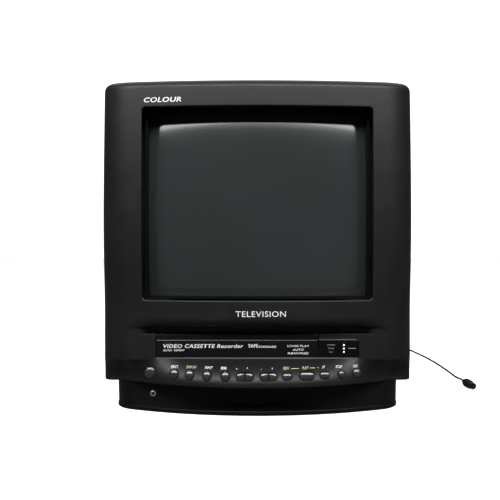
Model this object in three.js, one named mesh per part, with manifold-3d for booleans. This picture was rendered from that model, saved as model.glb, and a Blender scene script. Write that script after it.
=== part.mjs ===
// A 14-inch cathode ray tube television with a built-in video cassette deck.
// Millimetres, +X to the viewer's right, +Y towards the back, +Z up.
// Every piece is modelled by its depth behind the foremost point of the front, and the
// finished group is shifted once so that the origin is the middle of the footprint.

import * as THREE from "three";
import { mergeVertices } from "three/addons/utils/BufferGeometryUtils.js";
import Module from "manifold-3d";

const wasm = await Module();
wasm.setup();

// ---------------------------------------------------------------- driving dimensions

const GAP = 0.3; // clearance between pieces that touch
const WALL = 3; // wall of the moulded shells
const FRONT_SHIFT = -188.95; // moves depth 0 to its place in front of the origin

// cabinet heights
const CABINET_BOTTOM = 36;
const CABINET_TOP = 396.5;
const STRIP_TOP = 65.5; // ledge above the key strip
const FLAP_TOP = 95.6;
const BROW_BOTTOM = 103; // underside of the screen surround
const BROW_START = 116; // where the surround starts to roll under
const EDGE_RADIUS = 9; // along the top
const CORNER_RADIUS = 8; // of the front's upright edges

// cabinet plan
const HALF_WIDTH = 187.9;
const SEAM_DEPTH = 118; // joint between front cabinet and rear cover
const SURROUND_RADIUS = [700, 1100]; // plan curve of the screen surround, low down and high up
const SIDE_ROLL = [150, 26]; // where the surround starts to fall away sideways, and how far
const FASCIA_BLEND = [115, 160]; // where the flat face runs into the surround's curve
const STRIP_RADIUS = 305; // plan curve of the key strip
const STRIP_ENDS = 43; // depth of the key strip's straight ends
const STRIP_NOSE = -4; // depth of the key strip's foremost line
const STRIP_LEAN = 22; // how far the strip leans back to its top edge
const FASCIA_DEPTH = 26; // flat face around the cassette flap

// screen opening and picture tube
const TUBE_AXIS = 249; // height of the tube's axis
const FACE_DEPTH = 22; // middle of the tube's face
const FACE_RADIUS_X = 640;
const FACE_RADIUS_Z = 600;
const PANEL_HALF = [153, 129];
const PANEL_BACK = 95;
const PANEL_CORNER = 30;
const NECK_RADIUS = 14.6;
const NECK_END = 335;

// cassette deck
const DECK_X = -24.2; // middle of the cassette slot
const SLOT_HALF = 97;
const FLAP_BOTTOM = 67;
const WINDOW = [74.1, 121.5]; // left and right end of the indicator window
const HINGE = [FASCIA_DEPTH + 1.2, 93.6]; // depth and height of the flap's pivot
const CARRIAGE_FRONT = 64;
const CARRIAGE_LENGTH = 86;
const DRUM = [DECK_X, 262];
const DRUM_TILT = THREE.MathUtils.degToRad(6);
const REEL_SPACING = 92;

// keys: name, centre x, width, height, and the side that is square on a half key
const KEY_HEIGHT = 49.2;
const KEY_BACK = 31; // depth that the stems reach back to
const KEY_LENGTH = 8; // of the cap
const KEY_CLEARANCE = 0.45;
const KEYS = [
  { name: "power_key", x: -128.2, width: 14.4, height: 14.4, back: 33 },
  { name: "eject_key", x: -98.4, width: 11.2, height: 11.2 },
  { name: "display_key", x: -79.8, width: 11.2, height: 11.2 },
  { name: "tv_video_key", x: -59, width: 11.2, height: 11.2 },
  { name: "memory_key", x: -37.3, width: 11.2, height: 11.2 },
  { name: "channel_down_key", x: -19.9, width: 10.2, height: 9, square: 1 },
  { name: "channel_up_key", x: -9.1, width: 10.2, height: 9, square: -1 },
  { name: "volume_down_key", x: 7.6, width: 10.2, height: 8.8, square: 1 },
  { name: "volume_up_key", x: 18.4, width: 10.2, height: 8.8, square: -1 },
  { name: "rewind_key", x: 34.6, width: 12.2, height: 7.8 },
  { name: "play_key", x: 57.9, width: 18.2, height: 9 },
  { name: "forward_key", x: 79.2, width: 12.4, height: 7.8 },
  { name: "stop_key", x: 99.1, width: 9.2, height: 9.2 },
  { name: "record_key", x: 118.4, width: 10.4, height: 10.4 },
];

// base
const BASE_HALF = 175.2;
const BASE_FACE = 42; // flat front face of the base
const BASE_BACK = 318;
const PLINTH_TOP = 6;
const PLINTH_RADIUS = 400;
const PLINTH_NOSE = 10.8;
const FOOT_HEIGHT = 2;

// aerial lead that comes out of the back and lies beside the set
const LEAD_RADIUS = 1.4;
const LEAD_ROUTE = [
  [120, 333.6, 62], [120, 343, 62], [120.5, 356, 58], [122, 368, 46], [124, 376, 30],
  [127, 383, 14], [132, 392, 5], [140, 406, 1.75], [154, 428, 1.75], [175, 454, 1.75],
  [203, 478, 1.75], [234, 492, 1.75], [260, 494, 1.75], [276, 484, 1.75], [284, 464, 1.75],
  [289, 430, 1.75], [294, 392, 1.75], [297.4, 343, 1.75], [298.6, 295, 1.75], [298.4, 250, 1.75],
  [297.4, 226, 2.1], [296.2, 207, 3.9], [295, 191, 5.9], [294.4, 184, 6.15], [294, 178, 6.2],
];
const PLUG_DIRECTION = new THREE.Vector3(0.09, -1, 0).normalize();

// ---------------------------------------------------------------- materials

const paint = (color, roughness, metalness = 0) =>
  new THREE.MeshStandardMaterial({ color, roughness, metalness });

const MATERIALS = {
  cabinet: paint(0x1d1d1f, 0.5),
  base: paint(0x111112, 0.55),
  panel: paint(0x0b0b0c, 0.18),
  key: paint(0x3a3a3d, 0.35),
  rubber: paint(0x0c0c0c, 0.8),
  glass: paint(0x3c4242, 0.08),
  bareGlass: paint(0x6f7a78, 0.15),
  steel: paint(0x9a9c9e, 0.4, 0.9),
  chrome: paint(0xcfd1d3, 0.12, 1),
  copper: paint(0x9c5a2c, 0.4, 0.7),
  board: paint(0x6b5a2e, 0.7),
  blackPart: paint(0x141414, 0.5),
  magnet: paint(0x4a4a4c, 0.7),
  paper: paint(0x1a1a18, 0.95),
};

// ---------------------------------------------------------------- geometry helpers

const smoothstep = (low, high, value) => {
  const t = Math.min(1, Math.max(0, (value - low) / (high - low)));
  return t * t * (3 - 2 * t);
};

// How far an arc of the radius has fallen back at a distance from its middle.
const bulge = (radius, x) => radius - Math.sqrt(radius * radius - x * x);

// A closed body through rings that all have the same number of points.
function loft(rings) {
  const count = rings[0].length;
  const points = rings.flat();
  const faces = [];
  for (let i = 0; i + 1 < rings.length; i++) {
    for (let j = 0; j < count; j++) {
      const next = (j + 1) % count;
      const a = i * count + j;
      const b = i * count + next;
      faces.push(a, b, b + count, a, b + count, a + count);
    }
  }
  const addCap = (ring, offset, flip) => {
    const normal = ringNormal(ring);
    const drop = Math.abs(normal.z) > Math.abs(normal.y) ? 2 : 1;
    const outline = ring.map((p) => new THREE.Vector2(p[0], drop === 2 ? p[1] : p[2]));
    const clockwise = THREE.ShapeUtils.isClockWise(outline);
    for (const [a, b, c] of THREE.ShapeUtils.triangulateShape(outline, [])) {
      const forward = clockwise ? [c, b, a] : [a, b, c];
      const ordered = sameWay(ring, forward, normal) ? forward : forward.reverse();
      const [p, q, r] = flip ? [...ordered].reverse() : ordered;
      faces.push(offset + p, offset + q, offset + r);
    }
  };
  addCap(rings[0], 0, true);
  addCap(rings[rings.length - 1], (rings.length - 1) * count, false);
  return meshGeometry(points, faces);
}

// Newell's normal of a ring of points.
function ringNormal(ring) {
  const normal = new THREE.Vector3();
  ring.forEach((p, i) => {
    const q = ring[(i + 1) % ring.length];
    normal.x += (p[1] - q[1]) * (p[2] + q[2]);
    normal.y += (p[2] - q[2]) * (p[0] + q[0]);
    normal.z += (p[0] - q[0]) * (p[1] + q[1]);
  });
  return normal.normalize();
}

function sameWay(ring, [a, b, c], normal) {
  const [p, q, r] = [a, b, c].map((i) => new THREE.Vector3(...ring[i]));
  return q.sub(p).cross(r.sub(p)).dot(normal) > 0;
}

function meshGeometry(points, faces) {
  return new THREE.BufferGeometry()
    .setAttribute("position", new THREE.Float32BufferAttribute(points.flat(), 3))
    .setIndex(faces);
}

// A manifold-3d solid of a closed geometry, and back again.
function solid(geometry) {
  const bare = geometry.clone();
  bare.deleteAttribute("normal");
  bare.deleteAttribute("uv");
  const merged = mergeVertices(bare, 1e-4);
  const mesh = new wasm.Mesh({
    numProp: 3,
    vertProperties: merged.attributes.position.array,
    triVerts: new Uint32Array(merged.index.array),
  });
  return new wasm.Manifold(mesh);
}

function geometryOf(manifold) {
  const { vertProperties, triVerts, numProp, numVert } = manifold.getMesh();
  const positions = new Float32Array(numVert * 3);
  for (let i = 0; i < numVert; i++) {
    positions.set(vertProperties.subarray(i * numProp, i * numProp + 3), i * 3);
  }
  return new THREE.BufferGeometry()
    .setAttribute("position", new THREE.BufferAttribute(positions, 3))
    .setIndex([...triVerts]);
}

const union = (solids) => solids.reduce((all, next) => all.add(next));
const cut = (body, tools) => tools.reduce((left, tool) => left.subtract(tool), body);

// Box between two corners.
function block([x0, y0, z0], [x1, y1, z1]) {
  return new THREE.BoxGeometry(x1 - x0, y1 - y0, z1 - z0).translate(
    (x0 + x1) / 2,
    (y0 + y1) / 2,
    (z0 + z1) / 2,
  );
}

// Body of revolution about the Y axis through (x, z); the profile is [depth, radius] pairs.
function turnedAlongY(profile, x, z, segments = 24) {
  const outline = profile.map(([depth, radius]) => new THREE.Vector2(radius, depth));
  return outward(new THREE.LatheGeometry(outline, segments)).translate(x, 0, z);
}

// Body of revolution about the Z axis through (x, y); the profile is [height, radius] pairs.
function turnedAlongZ(profile, x, y, segments = 24) {
  const outline = profile.map(([height, radius]) => new THREE.Vector2(radius, height));
  const geometry = new THREE.LatheGeometry(outline, segments).rotateX(Math.PI / 2);
  return outward(geometry).translate(x, y, 0);
}

// Body of revolution about the X axis through (y, z); the profile is [x, radius] pairs.
function turnedAlongX(profile, y, z, segments = 24) {
  const outline = profile.map(([x, radius]) => new THREE.Vector2(radius, x));
  const geometry = new THREE.LatheGeometry(outline, segments).rotateZ(-Math.PI / 2);
  return outward(geometry).translate(0, y, z);
}

// Turns the faces round where a profile was listed the other way.
function outward(geometry) {
  const positions = geometry.attributes.position;
  const index = geometry.index.array;
  let volume = 0;
  const [a, b, c] = [new THREE.Vector3(), new THREE.Vector3(), new THREE.Vector3()];
  for (let i = 0; i < index.length; i += 3) {
    a.fromBufferAttribute(positions, index[i]);
    b.fromBufferAttribute(positions, index[i + 1]);
    c.fromBufferAttribute(positions, index[i + 2]);
    volume += a.dot(b.cross(c));
  }
  if (volume < 0) {
    for (let i = 0; i < index.length; i += 3) {
      [index[i + 1], index[i + 2]] = [index[i + 2], index[i + 1]];
    }
  }
  return geometry;
}

// Points of a rounded rectangle centred on (cx, cz), [x, z] pairs, anticlockwise from the front.
function roundedRectangle(halfX, halfZ, corner, cx = 0, cz = 0, perCorner = 4, barrel = 0) {
  const radius = Math.min(corner, halfX - 0.01, halfZ - 0.01);
  const points = [];
  const centres = [[1, -1], [1, 1], [-1, 1], [-1, -1]];
  centres.forEach(([sx, sz], quarter) => {
    for (let i = 0; i <= perCorner; i++) {
      const angle = ((quarter - 1) * Math.PI) / 2 + (i / perCorner) * (Math.PI / 2);
      points.push([
        cx + sx * (halfX - radius) + radius * Math.cos(angle),
        cz + sz * (halfZ - radius) + radius * Math.sin(angle),
      ]);
    }
    if (barrel) {
      const along = quarter % 2 === 0 ? [sx * (halfX + barrel), 0] : [0, sz * (halfZ + barrel)];
      points.push([cx + along[0], cz + along[1]]);
    }
  });
  return points;
}

// A body lofted along the depth, from sections of [depth, halfX, zBottom, zTop, corner].
function boxLoft(sections, inset = 0, perCorner = 3) {
  const rings = sections.map(([depth, halfX, bottom, top, corner]) =>
    roundedRectangle(
      halfX - inset,
      (top - bottom) / 2 - inset,
      Math.max(2, corner - inset),
      0,
      (top + bottom) / 2,
      perCorner,
    ).map(([x, z]) => [x, depth, z]),
  );
  return solid(outward(loft(rings)));
}

function tube(points, radius, steps, sides = 8) {
  const curve = new THREE.CatmullRomCurve3(points.map((p) => new THREE.Vector3(...p)));
  const section = new THREE.Shape().absarc(0, 0, radius, 0, Math.PI * 2);
  return new THREE.ExtrudeGeometry(section, {
    steps,
    curveSegments: sides / 2,
    bevelEnabled: false,
    extrudePath: curve,
  });
}

// ---------------------------------------------------------------- assembly

const root = new THREE.Group();
const television = new THREE.Group();
television.position.y = FRONT_SHIFT;
root.add(television);

function addPiece(name, shape, material, parent = television) {
  const geometry = shape.isBufferGeometry ? shape : geometryOf(shape);
  const mesh = new THREE.Mesh(geometry, material);
  mesh.name = name;
  parent.add(mesh);
  return mesh;
}

// ---------------------------------------------------------------- front cabinet surface

// Half width of the cabinet at a height: it narrows a little towards the top.
const halfWidthAt = (z) => HALF_WIDTH - 1.6 * smoothstep(100, 395, z);

// Flat face around the flap, running into the curved body at both ends.
function fasciaAt(x) {
  const share = smoothstep(...FASCIA_BLEND, Math.abs(x));
  return FASCIA_DEPTH + (surroundAt(x, BROW_START) - FASCIA_DEPTH) * share;
}

// The screen surround: nearly flat across, falling away faster towards its sides.
function surroundAt(x, z) {
  const [low, high] = SURROUND_RADIUS;
  const radius = low + (high - low) * smoothstep(116, 250, z);
  const [start, fall] = SIDE_ROLL;
  const t = Math.max(0, Math.abs(x) - start) / (HALF_WIDTH + 3.8 - start);
  return bulge(radius, x) + fall * (1 - Math.sqrt(1 - Math.min(1, t) ** 2));
}

const stripAt = (x) => Math.min(bulge(STRIP_RADIUS, x) + STRIP_NOSE, STRIP_ENDS);

// Depth of the front surface at a point of the front view, before its edges are rounded.
function frontAt(x, z) {
  if (z <= STRIP_TOP) {
    const top = Math.min(stripAt(x) + STRIP_LEAN, fasciaAt(x));
    const along = Math.min(1, (STRIP_TOP - z) / (STRIP_TOP - 40));
    return top + (stripAt(x) - top) * (1 - (1 - along) ** 1.8);
  }
  if (z <= FLAP_TOP) {
    return fasciaAt(x);
  }
  if (z < BROW_BOTTOM) {
    return fasciaAt(x) + 9 * (1 - smoothstep(124, 140, Math.abs(x)));
  }
  const surround = surroundAt(x, z);
  if (z < BROW_START) {
    const roll = (BROW_START - z) / (BROW_START - BROW_BOTTOM);
    return surround + (fasciaAt(x) - surround) * (1 - Math.sqrt(1 - roll * roll));
  }
  return surround + 5 * Math.max(0, (z - TUBE_AXIS) / 146) ** 2;
}

// One level of the cabinet, seen from above: the front from left to right, then the back.
function cabinetLevel(z, inset, depthAt) {
  const aboveEdge = Math.max(0, z - (CABINET_TOP - inset - EDGE_RADIUS));
  const belowEdge = Math.max(0, CABINET_BOTTOM + inset + 2 - z);
  const drop = EDGE_RADIUS - Math.sqrt(Math.max(0, EDGE_RADIUS ** 2 - aboveEdge ** 2));
  const tuck = 2 - Math.sqrt(Math.max(0, 4 - belowEdge ** 2));
  const half = halfWidthAt(z) - inset - drop - tuck;
  const corner = CORNER_RADIUS;
  const stations = 20;
  const ring = [];
  for (let j = 0; j <= stations; j++) {
    const spread = (2 * j) / stations - 1;
    const x = half * Math.sin((spread * Math.PI) / 2);
    const into = Math.max(0, Math.abs(x) - (half - corner));
    const round = corner - Math.sqrt(Math.max(0, corner ** 2 - into ** 2));
    ring.push([x, depthAt(x, z) + drop + tuck + round, z]);
  }
  const back = inset ? SEAM_DEPTH + 20 : SEAM_DEPTH;
  ring.push([half, back, z], [-half, back, z]);
  return ring;
}

const OUTER_LEVELS = [
  36, 36.6, 38, 42, 46, 50, 54, 58, 61, 63.5, 65.45, 65.55, FLAP_TOP, FLAP_TOP + 0.1,
  102.9, BROW_BOTTOM + 0.05, 103.6, 105, 107.5, 111, BROW_START, 180, TUBE_AXIS, 310, 345,
  370, CABINET_TOP - 9, CABINET_TOP - 6, CABINET_TOP - 3, CABINET_TOP - 1, CABINET_TOP - 0.15,
  CABINET_TOP,
];
const INNER_LEVELS = [
  39, 44, 50, 56, 61, 62.4, 62.6, 92.5, 92.7, 105.8, 106, 109, 113, 118, TUBE_AXIS, 330, 370, 380,
  389, CABINET_TOP - WALL,
];

function cabinetOuter() {
  return solid(outward(loft(OUTER_LEVELS.map((z) => cabinetLevel(z, 0, frontAt)))));
}

// The inside follows the front one wall behind the deepest surface within a wall's reach.
function cabinetInner() {
  const inside = (x, z) => {
    let deepest = 0;
    for (let step = -WALL; step <= WALL; step += WALL / 3) {
      deepest = Math.max(deepest, frontAt(x, z + step));
    }
    return deepest + WALL;
  };
  return solid(outward(loft(INNER_LEVELS.map((z) => cabinetLevel(z, WALL, inside)))));
}

// The screen opening narrows towards the glass; the outset gives the collar around it.
function screenOpening(outset, from, to) {
  const ringAt = (depth) => {
    const narrowing = Math.min(30, depth) - 6;
    const halfX = 136.3 - 0.18 * narrowing + outset;
    const top = 364.6 - 0.25 * narrowing + outset;
    const bottom = 137.2 + 0.12 * narrowing - outset;
    const outline = roundedRectangle(
      halfX, (top - bottom) / 2, 4.5 + outset, 0, (top + bottom) / 2, 3, 0.2,
    );
    return outline.map(([x, z]) => [x, depth, z]);
  };
  return solid(outward(loft([from, 30, to].map(ringAt))));
}

// Depth of the tube's face at a point measured from its axis.
const faceAt = (x, z) => FACE_DEPTH + x * x / (2 * FACE_RADIUS_X) + z * z / (2 * FACE_RADIUS_Z);

// A curved panel: rings from the middle of its front out over the rim and back inside.
function dish({ half, corner, shift, thickness, back, rim = 4, steps = [0.28, 0.55, 0.8] }) {
  const outline = (scale) =>
    roundedRectangle(half[0] * scale, half[1] * scale, corner * scale, 0, 0, 5, 0.8 * scale);
  const ringOnFace = (scale, offset) =>
    outline(scale).map(([x, z]) => [x, faceAt(x, z) + shift + offset, z + TUBE_AXIS]);
  const ringAtDepth = (scale, depth) =>
    outline(scale).map(([x, z]) => [x, depth, z + TUBE_AXIS]);
  const edge = 1 - rim / half[0];
  const inner = 1 - (thickness + 2) / half[0];
  const rings = [0.002, ...steps, edge].map((scale) => ringOnFace(scale, 0));
  rings.push(ringOnFace(1, rim), ringAtDepth(1, back));
  if (thickness < back - FACE_DEPTH) {
    rings.push(ringAtDepth(inner, back), ringOnFace(inner * 0.97, thickness + 3));
    for (const scale of [...steps].reverse()) {
      rings.push(ringOnFace(scale * inner, thickness));
    }
    rings.push(ringOnFace(0.002, thickness));
  }
  return solid(outward(loft(rings)));
}

// The space that the tube's face needs behind the collar.
const faceEnvelope = () =>
  dish({ half: PANEL_HALF.map((h) => h + 1), corner: PANEL_CORNER, shift: -0.6,
    thickness: 500, back: PANEL_BACK });

// Outline of a key in the front view, as a shape to extrude.
function keyShape({ width, height, square = 0 }, outset = 0) {
  const radius = height / 2 + outset;
  const reach = width / 2 + outset - radius;
  const shape = new THREE.Shape();
  if (square > 0) {
    shape.moveTo(width / 2 + outset, -radius).lineTo(width / 2 + outset, radius);
    shape.lineTo(-reach, radius).absarc(-reach, 0, radius, Math.PI / 2, Math.PI * 1.5);
  } else if (square < 0) {
    shape.moveTo(-width / 2 - outset, radius).lineTo(-width / 2 - outset, -radius);
    shape.lineTo(reach, -radius).absarc(reach, 0, radius, -Math.PI / 2, Math.PI / 2);
  } else {
    shape.absarc(reach, 0, radius, -Math.PI / 2, Math.PI / 2);
    shape.absarc(-reach, 0, radius, Math.PI / 2, Math.PI * 1.5);
  }
  return shape;
}

// Extrudes a front-view shape from one depth to another.
function extrudeDepth(shape, from, to, x, z, bevel = 0, curveSegments = 4) {
  return new THREE.ExtrudeGeometry(shape, {
    depth: to - from - bevel,
    curveSegments,
    bevelEnabled: bevel > 0,
    bevelThickness: bevel,
    bevelSize: bevel * 0.7,
    bevelOffset: -bevel * 0.7,
    bevelSegments: 1,
  }).rotateX(Math.PI / 2).translate(x, to, z);
}

function keyHole(key) {
  return solid(extrudeDepth(keyShape(key, KEY_CLEARANCE), -12, 60, key.x, KEY_HEIGHT));
}

const SPEAKER = [86, 205]; // depth and height of the loudspeaker's axis

// Vertical slots through the left wall, in front of the loudspeaker.
function speakerSlots() {
  const slots = [];
  for (let i = 0; i < 9; i++) {
    const depth = SPEAKER[0] + (i - 4) * 5.4;
    const reach = 26 * Math.sqrt(1 - ((depth - SPEAKER[0]) / 30) ** 2);
    const [low, high] = [SPEAKER[1] - reach, SPEAKER[1] + reach];
    slots.push(solid(block([-200, depth - 1.2, low], [-170, depth + 1.2, high])));
  }
  return slots;
}

const LUG = [160, 113]; // fixing points of the tube, from its axis

function frontCabinet() {
  const outer = cabinetOuter();
  const shell = outer.subtract(cabinetInner());
  const collar = screenOpening(WALL, -8, 60).intersect(outer).subtract(faceEnvelope());
  const posts = [];
  for (const [sx, sz] of [[1, 1], [1, -1], [-1, 1], [-1, -1]]) {
    const post = [[6, 0], [6, 7], [60, 7], [60, 0]];
    posts.push(solid(turnedAlongY(post, sx * LUG[0], TUBE_AXIS + sz * LUG[1], 12)));
  }
  const body = union([shell, collar, ...posts]).intersect(outer);
  return cut(body, [
    screenOpening(0, -30, 70),
    solid(block([DECK_X - SLOT_HALF - 0.8, 10, 66.2], [DECK_X + SLOT_HALF + 0.8, 42, 95.5])),
    solid(block([WINDOW[0] - GAP, 10, 66.9], [WINDOW[1] + GAP, 34, 87.9])),
    ...KEYS.map(keyHole),
    ...speakerSlots(),
  ]);
}

// ---------------------------------------------------------------- other shells

const HUMP = [
  [SEAM_DEPTH + GAP, 184.4, 60, 394.2, 14], [122, 184.2, 60, 393.4, 14], [160, 178, 60, 382, 20],
  [210, 160, 70, 358, 30],
  [260, 132, 95, 330, 36], [310, 104, 130, 312, 34], [350, 92, 150, 304, 30],
  [375, 88, 158, 299, 24], [382.9, 80, 166, 291, 18],
];
const DECK_BOX = [
  [SEAM_DEPTH + GAP, 186.4, 36.6, 120, 10], [200, 181, 38, 122, 12], [300, 177, 38, 120, 14],
  [326, 174, 40, 116, 12], [332, 168, 46, 110, 8],
];
const AV_PANEL = [-62, 62]; // left and right end of the socket panel
const INLET = [-130, 70];
const GROMMET = [LEAD_ROUTE[0][0], LEAD_ROUTE[0][2]];

function rearCover() {
  const outer = boxLoft(HUMP).add(boxLoft(DECK_BOX));
  const pushed = (sections) => {
    const inner = sections.map(([depth, ...rest]) => [depth, ...rest]);
    inner[0][0] -= 5;
    inner[inner.length - 1][0] -= WALL;
    return inner;
  };
  const inner = boxLoft(pushed(HUMP), WALL).add(boxLoft(pushed(DECK_BOX), WALL));
  const slots = [];
  for (let i = 0; i < 15; i++) {
    const x = (i - 7) * 13;
    slots.push(solid(block([x - 1.6, 150, 300], [x + 1.6, 205, 400])));
    if (Math.abs(x) < 60) {
      slots.push(solid(block([x - 1.6, 366, 215], [x + 1.6, 390, 268])));
    }
  }
  for (let i = 0; i < 8; i++) {
    const depth = 165 + i * 13;
    slots.push(solid(block([-200, depth - 1.6, 70], [200, depth + 1.6, 104])));
  }
  const openings = [
    solid(block([AV_PANEL[0] - GAP, 320, 61.7], [AV_PANEL[1] + GAP, 340, 94.3])),
    solid(block([INLET[0] - 13.3, 320, INLET[1] - 8.3], [INLET[0] + 13.3, 340, INLET[1] + 8.3])),
    solid(turnedAlongY([[320, 0], [320, 4.3], [345, 4.3], [345, 0]], ...GROMMET, 16)),
  ];
  return cut(outer.subtract(inner), [...slots, ...openings]);
}

function baseLevel(z, inset, nose) {
  const stations = 20;
  const corner = 22 - inset;
  const half = BASE_HALF - inset;
  const ring = [];
  for (let j = 0; j <= stations; j++) {
    const x = half * Math.sin(((2 * j) / stations - 1) * (Math.PI / 2));
    const into = Math.max(0, Math.abs(x) - (half - corner));
    const round = corner - Math.sqrt(Math.max(0, corner ** 2 - into ** 2));
    const curved = bulge(PLINTH_RADIUS, x) + PLINTH_NOSE + inset;
    ring.push([x, Math.max(nose, curved) + round * 0.8, z]);
  }
  ring.push([half, BASE_BACK - inset, z], [-half, BASE_BACK - inset, z]);
  return ring;
}

const JACK = [-127.5, 20.3];

function baseTray() {
  const bottom = FOOT_HEIGHT;
  const top = CABINET_BOTTOM - GAP;
  const levels = [
    baseLevel(bottom, 1.4, 0), baseLevel(bottom + 1.4, 0, 0), baseLevel(PLINTH_TOP - 0.8, 0, 0),
    baseLevel(PLINTH_TOP, 0.8, 0), baseLevel(PLINTH_TOP + 0.1, 0.8, BASE_FACE),
    baseLevel(top, 0, BASE_FACE),
  ];
  const hollow = [
    baseLevel(bottom + WALL, WALL + 1, BASE_FACE + WALL),
    baseLevel(top + 5, WALL + 1, BASE_FACE + WALL),
  ];
  const jackHole = turnedAlongY([[30, 0], [30, 3.2], [60, 3.2], [60, 0]], ...JACK, 16);
  return cut(solid(outward(loft(levels))), [
    solid(outward(loft(hollow))),
    solid(jackHole),
  ]);
}

const FEET = {
  foot_front_left: [-145, 62],
  foot_front_right: [145, 62],
  foot_rear_left: [-145, 295],
  foot_rear_right: [145, 295],
};
const foot = (x, y) =>
  turnedAlongZ([[0, 0], [0, 10], [FOOT_HEIGHT - GAP, 11], [FOOT_HEIGHT - GAP, 0]], x, y, 20);

// ---------------------------------------------------------------- cassette flap and window

// A plate with a pivot pin along its top edge and a raised line across it.
function cassetteFlap() {
  const left = DECK_X - SLOT_HALF;
  const right = DECK_X + SLOT_HALF;
  const plate = block([left, FASCIA_DEPTH, FLAP_BOTTOM], [right, FASCIA_DEPTH + 2.4, 94.6]);
  const line = block([left, FASCIA_DEPTH - 0.6, 87], [right, FASCIA_DEPTH + 1, 88.2]);
  const pin = [[left - 0.5, 0], [left - 0.5, 1.1], [right + 0.5, 1.1], [right + 0.5, 0]];
  return union([solid(plate), solid(line), solid(turnedAlongX(pin, ...HINGE, 12))]);
}

const indicatorWindow = () =>
  block([WINDOW[0], FASCIA_DEPTH - 0.2, 67.2], [WINDOW[1], FASCIA_DEPTH + 4, 87.6]);

// ---------------------------------------------------------------- keys

function keySolid(key) {
  const front = frontAt(key.x, KEY_HEIGHT - key.height / 2) - 2.2;
  const cap = extrudeDepth(keyShape(key), front, front + KEY_LENGTH, key.x, KEY_HEIGHT, 1.4, 4);
  const stem = block([key.x - 2, front + KEY_LENGTH - 2, KEY_HEIGHT - 2],
    [key.x + 2, key.back ?? KEY_BACK, KEY_HEIGHT + 2]);
  return solid(outward(indexed(cap))).add(solid(stem));
}

function indexed(geometry) {
  const bare = geometry.clone();
  bare.deleteAttribute("normal");
  bare.deleteAttribute("uv");
  return mergeVertices(bare, 1e-4);
}

const keyBoard = () => block([-106, 34, 40.5], [128, 35.6, 57]);
const powerSwitch = () => block([-136, 38.5, 41], [-122, 56, 55]);

// ---------------------------------------------------------------- picture tube

const FUNNEL = [
  [PANEL_BACK + GAP, 152.6, 128.6, 30], [112, 140, 118, 42], [140, 110, 95, 60],
  [168, 80, 72, 62], [190, 58, 55, 54], [205, 46, 46, 46], [220, 33, 33, 33],
  [235, 21, 21, 21], [246, NECK_RADIUS, NECK_RADIUS, NECK_RADIUS],
];

function funnelRing(depth, halfX, halfZ, corner) {
  return roundedRectangle(halfX, halfZ, corner, 0, TUBE_AXIS, 5).map(([x, z]) => [x, depth, z]);
}

function funnel() {
  const outer = FUNNEL.map((section) => funnelRing(...section));
  outer.push(funnelRing(NECK_END, NECK_RADIUS, NECK_RADIUS, NECK_RADIUS));
  const wall = (radius) => (radius > 30 ? 4 : 1.6);
  const inner = FUNNEL.map(([depth, halfX, halfZ, corner]) =>
    funnelRing(depth, halfX - wall(halfX), halfZ - wall(halfX), Math.max(2, corner - wall(halfX))),
  );
  const throat = NECK_RADIUS - 1.6;
  inner.push(funnelRing(NECK_END - 3, throat, throat, throat));
  inner[0] = inner[0].map(([x, , z]) => [x, PANEL_BACK - 3, z]);
  return solid(outward(loft(outer))).subtract(solid(outward(loft(inner))));
}

const panel = () =>
  dish({ half: PANEL_HALF, corner: PANEL_CORNER, shift: 0, thickness: 10, back: PANEL_BACK });

const shadowMask = () =>
  dish({ half: [134, 110], corner: 20, shift: 22, thickness: 1, back: 78, rim: 2,
    steps: [0.35, 0.7] });

function tensionBand() {
  const ring = (outset, depth) =>
    roundedRectangle(
      PANEL_HALF[0] + 0.9 + outset, PANEL_HALF[1] + 0.9 + outset, PANEL_CORNER + outset,
      0, TUBE_AXIS, 5,
    ).map(([x, z]) => [x, depth, z]);
  const outer = solid(outward(loft([ring(1.6, 60.5), ring(1.6, 84)])));
  const inner = solid(outward(loft([ring(0.3, 50), ring(0.3, 100)])));
  const lugs = [];
  for (const [sx, sz] of [[1, 1], [1, -1], [-1, 1], [-1, -1]]) {
    const [x, z] = [sx * (LUG[0] - 8), TUBE_AXIS + sz * (LUG[1] - 6)];
    lugs.push(solid(block([x - 15, 60.5, z - 13], [x + 15, 62.5, z + 13])));
  }
  return union([outer, ...lugs]).subtract(inner);
}

const YOKE = [
  [200, 52.5], [205, 48.5], [220, 35.5], [235, 24], [246, 16.6], [264, 16.6], [264, 36],
  [236, 58], [202, 66], [200, 66], [200, 52.5],
];
const ELECTRON_GUN = [[252, 0], [252, 7.5], [290, 7.5], [292, 9.5], [326, 9.5], [326, 0]];
const NECK_RINGS = [[270, 15.4], [270, 25], [290, 25], [290, 15.4], [270, 15.4]];

function neckBoard() {
  const board = block([-32, 341, TUBE_AXIS - 30], [32, 342.6, TUBE_AXIS + 34]);
  const socket = turnedAlongY([[335.4, 0], [335.4, 15], [341.5, 15], [341.5, 0]], 0, TUBE_AXIS, 20);
  return union([solid(board), solid(socket)]);
}

function degaussingCoil() {
  const path = roundedRectangle(148, 124, 36, 0, TUBE_AXIS, 4);
  const ringAround = ([x, z]) => {
    const out = new THREE.Vector2(x, z - TUBE_AXIS).normalize();
    const ring = [];
    for (let i = 0; i < 8; i++) {
      const angle = (i / 8) * Math.PI * 2;
      const away = 3.6 * Math.cos(angle);
      ring.push([x + out.x * away, 109 + 3.6 * Math.sin(angle), z + out.y * away]);
    }
    return ring;
  };
  const rings = path.map(ringAround);
  const faces = [];
  const count = rings.length;
  for (let i = 0; i < count; i++) {
    for (let j = 0; j < 8; j++) {
      const a = i * 8 + j;
      const b = i * 8 + ((j + 1) % 8);
      const c = ((i + 1) % count) * 8 + ((j + 1) % 8);
      const d = ((i + 1) % count) * 8 + j;
      faces.push(a, b, c, a, c, d);
    }
  }
  return outward(meshGeometry(rings.flat(), faces));
}

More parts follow.
